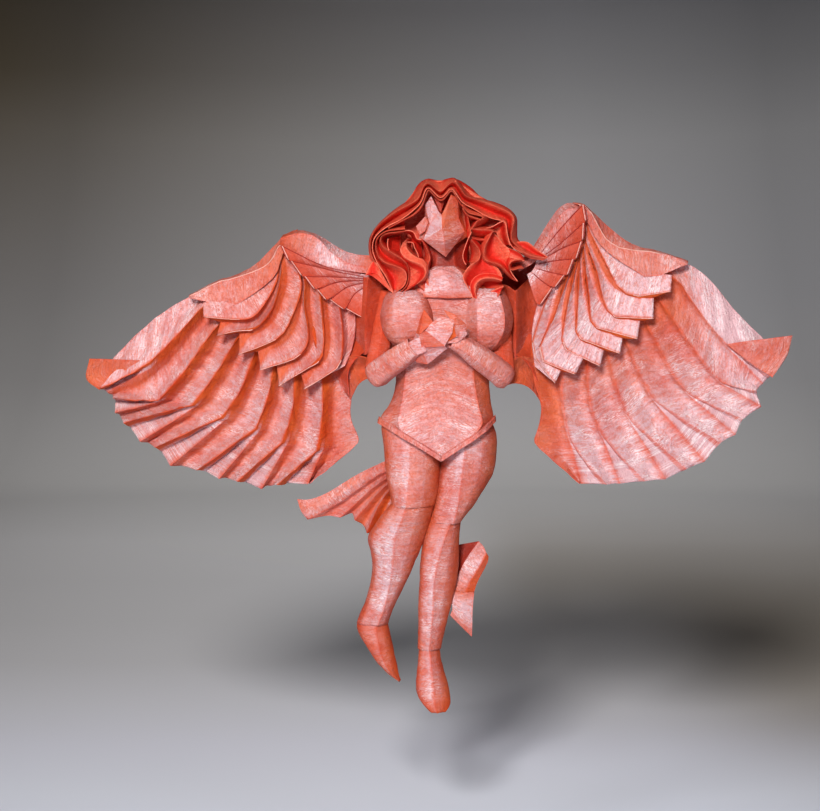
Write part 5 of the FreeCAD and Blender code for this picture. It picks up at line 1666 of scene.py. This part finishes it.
@dataclass
class Hair:
    """Curled locks round the face over a pleated fall at the back of the head."""

    locks: tuple[Lock, ...] = LOCKS
    # Height of each level of the fall, its left and right edges and how far back it reaches.
    fall: tuple[tuple[float, float, float, float], ...] = (
        (157, -14.6, 19, 3), (160, -17, 22, 4.4), (163, -19.6, 25, 6), (168, -22.4, 28.4, 7.6),
        (172, -23, 29.6, 8.5), (178, -22.2, 30.4, 9.2), (182, -19.4, 30.4, 9.2), (186, -14.6, 29.8, 8.8),
        (191, -9, 20, 7), (196, -5.2, 12, 5), (198.4, -2.4, 8.4, 3),
    )
    front: float = 1.6
    pleats: int = 9
    pleat_depth: float = 1.1

    def back_fall(self, material: bpy.types.Material) -> None:
        """The pleated fall of hair behind the head, closed at the front.

        Args:
            material: the paper.
        """
        heights = np.array([row[0] for row in self.fall], dtype=float)
        rows = 56
        up = np.linspace(heights[0], heights[-1], rows)
        left, right, back = (np.interp(up, heights, [row[column] for row in self.fall])
                             for column in (1, 2, 3))
        folds = []
        for step in range(4):
            share = step / 3
            bulge = 0.8 * math.sin(math.pi * share)
            near = np.full(rows, self.front - bulge)
            folds.append(Fold(np.stack([left + (right - left) * share, near, up], axis=1), Crease.SOFT))
        for step in range(self.pleats * 2 - 1):
            share = 1 - (step + 1) / (self.pleats * 2)
            swing = share + 0.012 * np.sin(up * 0.21 + step)
            deep = back * np.sin(np.pi * np.clip(swing, 0.04, 0.96)) ** 0.5 + self.front * 0.4
            deep = deep - (self.pleat_depth if step % 2 else 0.0)
            kind = Crease.SOFT if step % 2 else Crease.CRISP
            folds.append(Fold(np.stack([left + (right - left) * swing, deep, up], axis=1), kind))
        Sheet("hair_back_fall", folds, material, closed=True, grain=FINE, sign=-1).build(131.0)

    def build(self, papers: dict[Paper, bpy.types.Material]) -> None:
        """Make every lock and the fall behind them.

        Args:
            papers: the material of each paper.
        """
        material = papers[Paper.CURLED]
        self.back_fall(material)
        for count, lock in enumerate(self.locks):
            lock.sheet(material).build(133.0 + 2 * count)


# ---- Papers ---------------------------------------------------------------------------------
def linear(code: str) -> tuple[float, float, float, float]:
    """Colour of an sRGB hex code in scene-linear light.

    Args:
        code: six hex digits after a hash sign.

    Returns:
        Red, green, blue and an alpha of one.
    """
    parts = [int(code[start:start + 2], 16) / 255 for start in (1, 3, 5)]
    made = [part / 12.92 if part <= 0.04045 else ((part + 0.055) / 1.055) ** 2.4 for part in parts]
    return made[0], made[1], made[2], 1.0


def add(tree: bpy.types.NodeTree, kind: str, inputs: dict | None = None, out: str | int = 0,
        **settings) -> bpy.types.NodeSocket | None:
    """Add a node, set it up and link into it.

    Args:
        tree: where the node goes.
        kind: the node's type, without its ShaderNode prefix.
        inputs: what each input takes, by name or number: a value, or a socket to link from.
        out: the name or number of the output that is wanted.
        settings: the node's own properties.

    Returns:
        That output, or nothing for a node without outputs.
    """
    node = tree.nodes.new(f"ShaderNode{kind}")
    for key, value in settings.items():
        setattr(node, key, value)
    for key, value in (inputs or {}).items():
        if isinstance(value, bpy.types.NodeSocket):
            tree.links.new(value, node.inputs[key])
        else:
            node.inputs[key].default_value = value
    return node.outputs[out] if node.outputs else None


@dataclass(frozen=True)
class Spread:
    """How far a value has gone from its start to its end, as a share between low and high."""

    start: float
    end: float
    low: float = 0.0
    high: float = 1.0
    eased: bool = False

    def of(self, tree: bpy.types.NodeTree, value: bpy.types.NodeSocket) -> bpy.types.NodeSocket:
        """Work out the share.

        Args:
            tree: where the node goes.
            value: the value.

        Returns:
            The share, held between low and high.
        """
        return add(tree, "MapRange", {"Value": value, "From Min": self.start, "From Max": self.end,
                                      "To Min": self.low, "To Max": self.high},
                   interpolation_type="SMOOTHSTEP" if self.eased else "LINEAR")


@dataclass(frozen=True)
class Grain:
    """A noise drawn to size: a patch of it is as many millimetres long as size says, on each axis."""

    size: tuple[float, float, float]
    detail: float
    rough: float = 0.5
    warp: float = 0.0
    turned: tuple[float, float, float] = (0.0, 0.0, 0.0)
    moved: tuple[float, float, float] = (0.0, 0.0, 0.0)
    line: float = 0.0                   # half width of lines drawn along its middle value, or 0 for clouds

    def draw(self, tree: bpy.types.NodeTree, where: bpy.types.NodeSocket) -> bpy.types.NodeSocket:
        """Draw the pattern.

        Args:
            tree: where the nodes go.
            where: coordinates in millimetres.

        Returns:
            The noise, or its lines, between 0 and 1.
        """
        scale = [1.0 / length for length in self.size]
        spot = add(tree, "Mapping", {"Vector": where, "Location": self.moved, "Rotation": self.turned,
                                     "Scale": scale})
        drawn = add(tree, "TexNoise", {"Vector": spot, "Scale": 1.0, "Detail": self.detail,
                                       "Roughness": self.rough, "Distortion": self.warp})
        if not self.line:
            return drawn
        away = add(tree, "Math", {0: drawn, 1: 0.5}, operation="SUBTRACT")
        away = add(tree, "Math", {0: away}, operation="ABSOLUTE")
        return Spread(0.0, self.line, 1.0, 0.0).of(tree, away)


# Clouds 12 mm across where the brush left more or less pigment.
CLOUD = Grain((11.765, 11.765, 11.765), 3.0, 0.6)
# Flakes 0.8 mm across, drawn coarser than the pigment's own grain so that they still show.
FLAKE = Grain((0.8333, 0.8333, 0.8333), 3.0, 0.65)
# Kozo fibres: thin bright lines that wander for a few millimetres, the second kind finer than the first.
STRAND = Grain((3.125, 3.125, 3.125), 1.0, 0.4, 1.6, line=0.014)
FIBRE = Grain((1.8182, 1.8182, 1.8182), 0.6, 0.4, 1.1, turned=(0.6, 0.9, 0.4), line=0.018)
# Crumple lines left by wet folding, 4.5 mm apart.
CRUMPLE_LINE = Grain((4.5455, 4.5455, 4.5455), 2.5, 0.55, 0.5, line=0.05)
# Fine wrinkle ridges across a pleat, 1 mm apart and 7 mm long, in bands 11 mm wide, raised in the bump and
# made paler with pearl as painted highlight.
WRINKLE_RIDGE = Grain((7.1429, 1.0526, 1.0), 1.5, 0.5, 0.5, line=0.06)
WRINKLE_RIDGE_BAND = Grain((33.333, 11.111, 1.0), 1.0)
# Wrinkles that cross a pleat, 1.7 mm apart and 4 mm long.
RIPPLE = Grain((3.8462, 1.6667, 1.0), 2.0, 0.5, 0.4)
# Painted highlight: white glint strokes across a pleat, 3 mm long, drawn coarser than the brush's own
# hairs, in patches.
GLINT_STROKE = Grain((3.0303, 0.66667, 1.0), 1.0, 0.5, 0.8, moved=(4.0, 9.0, 0.0), line=0.07)
GLINT_PATCH = Grain((14.286, 6.25, 1.0), 1.0, moved=(7.0, 3.0, 0.0))
# Where a pattern counts as there, between its low and its high values.
CLOUDED, CLOUD_TONE = Spread(0.36, 0.60), Spread(0.30, 0.70)
FLAKED, BANDED, GLOSSY = Spread(0.42, 0.60), Spread(0.44, 0.58), Spread(0.48, 0.60)
# Pearl that plain paper holds, and what ripples, flakes, fibres, wrinkle ridges and crumple lines add to
# it; what ripple crests and wrinkle ridges add is painted highlight.
PLAIN_HOLD = 0.35
RIPPLE_HOLD, FLAKE_HOLD, FIBRE_HOLD, WRINKLE_RIDGE_HOLD, CRUMPLE_HOLD = 0.26, 0.24, 0.15, 0.55, -0.10
# Share of the pigment that is there outside the clouds, and what the clouds add.
CLOUD_LEAST, CLOUD_MORE = 0.65, 0.35
# How strongly a pressed edge shows pale as painted highlight, and a gap between layers dark as painted
# shade.
EDGE_HIGHLIGHT_SHOWS, GAP_SHADE_SHOWS = 0.75, -0.85
PEARL_SMOOTHS = -0.08
GLINT_HEIGHT = 0.0010


@dataclass(frozen=True)
class PearlPaper:
    """Long-fibred paper with pearl pigment laid on its front with a brush; the pearl also paints sheen and
    shade.
    """

    name: str
    base: str
    deep: str
    pearl: str
    glow: str
    cover: float                        # how much of the paper full pearl hides
    wrinkles: float = 1.0
    # Colour of the ridge lines: a dark line of painted shade along a steep side, or on the hair a pale rim
    # of painted highlight.
    ridge_shading: str = "#E84A2C"
    # Colour of a pressed edge's painted highlight, and of the painted shade in a gap between layers.
    edge: str = "#FFCABC"
    gap: str = "#9C1C10"
    roughness: float = 0.52
    coat: float = 0.9
    metal: float = 0.12
    thin: float = 0.22                  # share of the light that comes through
    ridge_shading_share: float = 0.22                   # how strongly a ridge line of painted shade or highlight shows
    white: str = "#FFF0F4"
    glint_strength: float = 0.85                # how white a glint stroke is painted, as painted highlight
    coat_roughness: float = 0.24
    coat_ior: float = 1.95
    sheen: float = 0.25                 # how shiny the bare paper is

    def make(self) -> bpy.types.Material:
        """Make the material.

        Returns:
            A material whose patterns are drawn in millimetres.
        """
        material = bpy.data.materials.new(self.name)
        material.use_nodes = True
        tree = material.node_tree
        tree.nodes.clear()
        place = add(tree, "TexCoord", out="Object")
        spot = add(tree, "Mapping", {"Vector": place, "Scale": (1 / MM, 1 / MM, 1 / MM)})
        paper = add(tree, "UVMap", uv_map="paper")
        cloud, flake, strand, fibre, crease = (
            grain.draw(tree, spot) for grain in (CLOUD, FLAKE, STRAND, FIBRE, CRUMPLE_LINE))
        wrinkle_ridges, band, ripple, glint_stroke, glint_area = (
            grain.draw(tree, paper) for grain in (WRINKLE_RIDGE, WRINKLE_RIDGE_BAND, RIPPLE, GLINT_STROKE, GLINT_PATCH))
        fibres = add(tree, "Math", {0: strand, 1: fibre}, operation="MAXIMUM")
        wrinkle_ridges = add(tree, "Math", {0: wrinkle_ridges, 1: BANDED.of(tree, band)}, operation="MULTIPLY")
        ridge_shaded, pearl_and_sheen, pressed = (add(tree, "Attribute", out="Fac", attribute_name=name,
                                      attribute_type="GEOMETRY")
                                  for name in ("ridge_line_shading", "pearl_and_sheen", "pressed"))

        # The pearl, which also paints sheen, is thicker on ripple crests and wrinkle ridges as painted
        # highlight.
        held = add(tree, "Math", {0: FLAKED.of(tree, ripple), 1: RIPPLE_HOLD, 2: PLAIN_HOLD},
                   operation="MULTIPLY_ADD")
        for pattern, hold in ((FLAKED.of(tree, flake), FLAKE_HOLD), (fibres, FIBRE_HOLD),
                              (wrinkle_ridges, WRINKLE_RIDGE_HOLD),
                              (crease, CRUMPLE_HOLD)):
            held = add(tree, "Math", {0: pattern, 1: hold, 2: held}, operation="MULTIPLY_ADD")
        spread = add(tree, "Math", {0: CLOUDED.of(tree, cloud), 1: CLOUD_MORE, 2: CLOUD_LEAST},
                     operation="MULTIPLY_ADD")
        spread = add(tree, "Math", {0: spread, 1: pearl_and_sheen}, operation="MULTIPLY")
        pearl = add(tree, "Math", {0: held, 1: spread}, operation="MULTIPLY", use_clamp=True)
        # Glint strokes are white painted highlight, with a glossier coat where they lie.
        glint_stroke = add(tree, "Math", {0: glint_stroke, 1: GLOSSY.of(tree, glint_area)}, operation="MULTIPLY")
        glint_stroke = add(tree, "Math", {0: glint_stroke, 1: spread}, operation="MULTIPLY", use_clamp=True)

        colour = add(tree, "MixRGB", {0: CLOUD_TONE.of(tree, cloud), 1: linear(self.deep),
                                      2: linear(self.base)})
        # Over the paper's own tone go the pearl (also painted sheen and shade), the glint strokes (painted
        # highlight), the ridge lines, pale edges (painted highlight) and gaps (painted shade).
        for layer, share, tint in ((pearl, self.cover, self.pearl), (glint_stroke, self.glint_strength, self.white),
                                   (ridge_shaded, self.ridge_shading_share, self.ridge_shading), (pressed, EDGE_HIGHLIGHT_SHOWS, self.edge),
                                   (pressed, GAP_SHADE_SHOWS, self.gap)):
            shown = add(tree, "Math", {0: layer, 1: share}, operation="MULTIPLY", use_clamp=True)
            colour = add(tree, "MixRGB", {0: shown, 1: colour, 2: linear(tint)})

        # Each relief's strength and its height in metres.
        relief = ((ripple, 0.6 * self.wrinkles, 0.0008), (wrinkle_ridges, 0.3 * self.wrinkles, 0.0002),
                  (crease, 0.4, 0.0002), (fibres, 0.7, 0.00015), (flake, 0.5 * self.wrinkles, 0.0004))
        bump: dict[str, bpy.types.NodeSocket] = {}
        for pattern, strength, height in relief:
            bump = {"Normal": add(tree, "Bump",
                                  {"Height": pattern, "Strength": strength, "Distance": height} | bump)}
        glint = add(tree, "Bump", {"Height": flake, "Strength": 1.0, "Distance": GLINT_HEIGHT} | bump)

        metal = add(tree, "Math", {0: pearl, 1: self.metal}, operation="MULTIPLY", use_clamp=True)
        coat = add(tree, "Math", {0: glint_stroke, 1: pearl}, operation="MAXIMUM")
        coat = add(tree, "Math", {0: coat, 1: self.coat}, operation="MULTIPLY", use_clamp=True)
        rough = add(tree, "Math", {0: pearl, 1: PEARL_SMOOTHS, 2: self.roughness}, operation="MULTIPLY_ADD")
        surface = add(tree, "BsdfPrincipled", {
            "Base Color": colour, "Metallic": metal, "Roughness": rough, "Specular IOR Level": self.sheen,
            "Coat Weight": coat, "Coat Roughness": self.coat_roughness, "Coat IOR": self.coat_ior,
            "Coat Normal": glint,
        } | bump)
        through = add(tree, "BsdfTranslucent", {"Color": linear(self.glow)} | bump)
        mixed = add(tree, "MixShader", {0: self.thin, 1: surface, 2: through})
        add(tree, "OutputMaterial", {"Surface": mixed})
        return material


FINISHES: dict[Paper, PearlPaper] = {
    # Matt coral paper under a milky coat of pearl; the pearl laid thick on ridges is painted sheen, and its
    # white strokes are painted glints.
    Paper.BRUSHED: PearlPaper("kozo_paper_brushed_pearl", "#DA622A", "#CA4414", "#EED6E2", "#FF5A18", 0.69,
                              coat=1.0),
    # Shaded copy of the same paper for flaps that lie in shade: redder, with little shine, as painted
    # shade.
    Paper.SHADED_COPY: PearlPaper("kozo_paper_shaded_copy", "#D64E26", "#C43C14", "#F0D0D4", "#FF4C10", 0.5,
                              wrinkles=0.6, coat=0.45, metal=0.1),
    # Redder copy of the paper for the curled hair, its red standing for the shade and glow between the
    # curls: smooth, with pale rims on its crisp edges as painted highlight.
    Paper.CURLED: PearlPaper("kozo_paper_curled_red", "#E63020", "#CC1C12", "#FF9870", "#FF2A0C", 0.55,
                             wrinkles=0.5, ridge_shading="#FF8C70", coat=0.35, metal=0.0, thin=0.2, ridge_shading_share=0.5,
                             glint_strength=0.0),
    # Dark brownish red copy without shine, for sheets deep between the layers, as painted shade.
    Paper.DEEP_SHADE: PearlPaper("kozo_paper_deep_shade", "#A02814", "#84180A", "#E0A090", "#C01C08", 0.1,
                           wrinkles=0.6, coat=0.1, metal=0.0, thin=0.1),
}


# ---- Studio ---------------------------------------------------------------------------------
# The background's tones are laid out by distance behind the figure plus twice the height up the wall, and
# end here, in metres.
RAMP_END = 2.6
# Colour of the background paper along that way, lighter behind the figure and darker up the wall as painted
# fall-off of the light.
SWEEP_RAMP = (
    (0.000, "#C8CCDA"), (0.072, "#CBCFDB"), (0.156, "#CCCEDA"), (0.233, "#CACBD3"), (0.323, "#C6C6CB"),
    (0.429, "#CCCCD0"), (0.554, "#D8D8DC"), (0.706, "#ECECF0"), (0.980, "#F4F4F6"), (1.310, "#CDCDD1"),
    (1.570, "#BCBCC1"), (1.860, "#AEAEB2"), (2.000, "#A6A6A9"), (2.180, "#8B8B8E"), (2.350, "#727276"),
)
# Share of the light that the room's own shade takes from the floor on the right, along that way.
SHADE_RAMP = ((0.0, 0.0), (0.12, 0.0), (0.20, 0.18), (0.32, 0.20), (0.43, 0.26),
              (0.555, 0.54), (0.71, 0.40), (0.92, 0.0))
# The shade's tint, which is what is left of red, green and blue.
SHADE_TINT = (0.26, 0.18, 0.06, 1.0)
BLACK = (0.0, 0.0, 0.0, 1.0)
# Where the light falls off to the left, and how much more of that there is higher up, in metres.
FALL_ACROSS = Spread(0.14, -0.44)
FALL_TOP, FALL_LOW, FALL_HIGH = 0.3, 0.12, 0.88
# The shade beside the figure's shadow: its left edge, its near end and its far end, in metres.
SHADE_LEFT, SHADE_NEAR = Spread(0.09, 0.19, 0.0, 0.42, eased=True), Spread(-0.06, 0.30, eased=True)
SHADE_FAR, SHADE_WIDE = Spread(0.62, 0.36, eased=True), Spread(-0.02, 0.08, eased=True)
# The lamp's pool of light: its half width in metres, and its brightness from the middle out.
POOL_WIDTH, POOL = 0.28, Spread(0.0, 1.5, 1.40, 0.90)
# Light that the wall sends back to the figure, by twice the height in metres.
WALL_BOUNCE = Spread(0.0, 0.2, 1.0, 0.35)


@dataclass(frozen=True)
class Lamp:
    """A soft studio lamp."""

    name: str
    azimuth: float
    elevation: float
    distance: float
    width: float
    power: float
    tint: str

    def place(self, aim: Vector) -> None:
        """Hang the lamp and point it at the figure.

        Args:
            aim: where it points.
        """
        data = bpy.data.lights.new(self.name, "AREA")
        data.shape = "DISK"
        data.size = self.width
        data.energy = self.power
        data.color = linear(self.tint)[:3]
        lamp = bpy.data.objects.new(self.name, data)
        bpy.context.scene.collection.objects.link(lamp)
        turn, rise = math.radians(self.azimuth), math.radians(self.elevation)
        away = Vector((math.sin(turn) * math.cos(rise), -math.cos(turn) * math.cos(rise), math.sin(rise)))
        lamp.location = aim + away * self.distance
        lamp.rotation_euler = away.to_track_quat("Z", "Y").to_euler()
        lamp.visible_camera = False


@dataclass
class Studio:
    """Paper sweep, lamps and camera, in metres."""

    floor: float = -0.052               # height of the sweep's floor
    flat: float = 0.95                  # radius of its flat part
    round_to: float = 1.55              # radius at which its bend has become a wall
    height: float = 1.5
    around: int = 96                    # faces round the sweep
    bend_steps: int = 16
    lamp_aim: Point3 = (0.0, 0.0, 0.11)
    room_tint: str = "#F2F4F8"
    room_light: float = 0.03
    lens: float = 100.0                 # millimetres, on a film as wide as the next value
    film: float = 36.0
    view_aim: Point3 = (-0.01075, 0.0, 0.1158)
    view_distance: float = 0.841
    view_rise: float = 6.0              # degrees above level
    lamps: tuple[Lamp, ...] = (
        Lamp("key_softbox", -11, 26, 1.45, 0.34, 26.6, "#FFFCF8"),
        Lamp("left_softbox", -52, 30, 1.40, 0.45, 3, "#FFFDFC"),
        Lamp("right_softbox", 46, 34, 1.40, 0.60, 1.0, "#F6F8FF"),
        Lamp("top_softbox", 0, 80, 1.20, 0.80, 0.4, "#F4F8FF"),
    )

    def sweep(self) -> None:
        """A seamless bowl of paper: flat floor, quarter-round and wall."""
        profile = [(0.0, 0.0), (self.flat * 0.5, 0.0), (self.flat, 0.0)]
        bend = self.round_to - self.flat
        for step in range(1, self.bend_steps + 1):
            turn = math.radians(90 / self.bend_steps * step)
            profile.append((self.flat + bend * math.sin(turn), bend * (1 - math.cos(turn))))
        profile.append((self.round_to, self.height))
        around = self.around
        verts, faces = [], []
        for radius, rise in profile:
            for step in range(around):
                turn = 2 * math.pi * step / around
                verts.append((radius * math.cos(turn), radius * math.sin(turn), self.floor + rise))
        for ring in range(len(profile) - 1):
            for step in range(around):
                after = (step + 1) % around
                faces.append((ring * around + step, ring * around + after,
                              (ring + 1) * around + after, (ring + 1) * around + step))
        mesh = bpy.data.meshes.new("sweep")
        mesh.from_pydata(verts, [], faces)
        mesh.shade_smooth()
        mesh.materials.append(self.sweep_paper())
        sweep = bpy.data.objects.new("sweep", mesh)
        bpy.context.scene.collection.objects.link(sweep)

    @staticmethod
    def ramp(tree: bpy.types.NodeTree, share: bpy.types.NodeSocket, stops: tuple,
             blend: str) -> bpy.types.NodeSocket:
        """Look a colour up along a ramp.

        Args:
            tree: where the node goes.
            share: how far along the ramp, from 0 to 1.
            stops: the distance in metres and the hex code or grey level of each stop.
            blend: how the ramp runs between its stops.

        Returns:
            The colour.
        """
        found = add(tree, "ValToRGB", {0: share})
        found.node.color_ramp.interpolation = blend
        elements = found.node.color_ramp.elements
        while len(elements) < len(stops):
            elements.new(1.0)
        for element, (distance, tone) in zip(elements, stops):
            element.position = distance / RAMP_END
            element.color = linear(tone) if isinstance(tone, str) else (tone, tone, tone, 1.0)
        return found

    def sweep_paper(self) -> bpy.types.Material:
        """Matt grey-white background paper, painted darker up the wall as fall-off of the light.

        Returns:
            The material.
        """
        material = bpy.data.materials.new("matt_sweep_paper")
        material.use_nodes = True
        tree = material.node_tree
        tree.nodes.clear()
        place = add(tree, "TexCoord", out="Object")
        side, depth, height = add(tree, "SeparateXYZ", {0: place}).node.outputs
        rise = add(tree, "Math", {0: height, 1: 2.0, 2: -2.0 * self.floor}, operation="MULTIPLY_ADD")
        along = add(tree, "Math", {0: depth, 1: rise}, operation="ADD")
        share = Spread(0.0, RAMP_END).of(tree, along)
        tone = self.ramp(tree, share, SWEEP_RAMP, "LINEAR")
        above = Spread(self.floor, FALL_TOP, FALL_LOW, FALL_HIGH).of(tree, height)
        fall = add(tree, "Math", {0: FALL_ACROSS.of(tree, side), 1: above}, operation="MULTIPLY")
        # The far right of the floor lies in the room's own shade, next to the figure's shadow.
        shade = SHADE_LEFT.of(tree, side)
        for edge in (SHADE_NEAR, SHADE_FAR):
            shade = add(tree, "Math", {0: shade, 1: edge.of(tree, along)}, operation="MULTIPLY")
        dim = self.ramp(tree, share, SHADE_RAMP, "B_SPLINE")
        shade = add(tree, "Math", {0: SHADE_WIDE.of(tree, side), 1: dim, 2: shade},
                    operation="MULTIPLY_ADD")
        fall = add(tree, "Math", {0: fall, 1: shade}, operation="MAXIMUM")
        shown = add(tree, "MixRGB", {0: fall, 1: tone, 2: SHADE_TINT}, blend_type="MULTIPLY")
        # The lamp's pool of light is brightest behind the figure.
        off = add(tree, "Math", {0: side, 1: 1.0 / POOL_WIDTH}, operation="MULTIPLY")
        off = add(tree, "Math", {0: off, 1: 2.0}, operation="POWER")
        shown = add(tree, "VectorMath", {0: shown, 1: POOL.of(tree, off)}, operation="MULTIPLY")
        # Away from the camera the wall counts as a dim room, so that folds keep their deep colour.
        camera_ray = add(tree, "LightPath", out="Is Camera Ray")
        level = add(tree, "Math", {0: WALL_BOUNCE.of(tree, rise), 1: camera_ray}, operation="MAXIMUM")
        colour = add(tree, "MixRGB", {0: level, 1: BLACK, 2: shown})
        surface = add(tree, "BsdfPrincipled", {"Base Color": colour, "Roughness": 0.9,
                                               "Specular IOR Level": 0.1})
        add(tree, "OutputMaterial", {"Surface": surface})
        return material

    def light(self) -> None:
        """Hang every lamp and set the room's own light."""
        for lamp in self.lamps:
            lamp.place(Vector(self.lamp_aim))
        world = bpy.data.worlds.new("studio_room")
        world.use_nodes = True
        room = world.node_tree.nodes["Background"]
        room.inputs["Color"].default_value = linear(self.room_tint)
        room.inputs["Strength"].default_value = self.room_light
        bpy.context.scene.world = world

    def camera(self) -> None:
        """A long lens, level with the figure and looking slightly down at it."""
        data = bpy.data.cameras.new("product_camera")
        data.lens = self.lens
        data.sensor_width = self.film
        data.clip_end = 10.0
        camera = bpy.data.objects.new("product_camera", data)
        bpy.context.scene.collection.objects.link(camera)
        rise = math.radians(self.view_rise)
        away = Vector((0.0, -math.cos(rise), math.sin(rise)))
        camera.location = Vector(self.view_aim) + away * self.view_distance
        camera.rotation_euler = away.to_track_quat("Z", "Y").to_euler()
        bpy.context.scene.camera = camera

    def build(self) -> None:
        """Put the whole studio round the figure."""
        self.sweep()
        self.light()
        self.camera()


def main() -> None:
    """Build the figure and its studio."""
    logging.basicConfig(level=logging.INFO, format="%(name)s: %(message)s")
    bpy.context.scene.view_settings.view_transform = "Standard"
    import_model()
    papers = {paper: finish.make() for paper, finish in FINISHES.items()}
    for part in (left_wing(), right_wing(), Body(), Webs(), Legs(), Ribbons(), Hair()):
        part.build(papers)
    Studio().build()


if __name__ == "__main__":
    main()
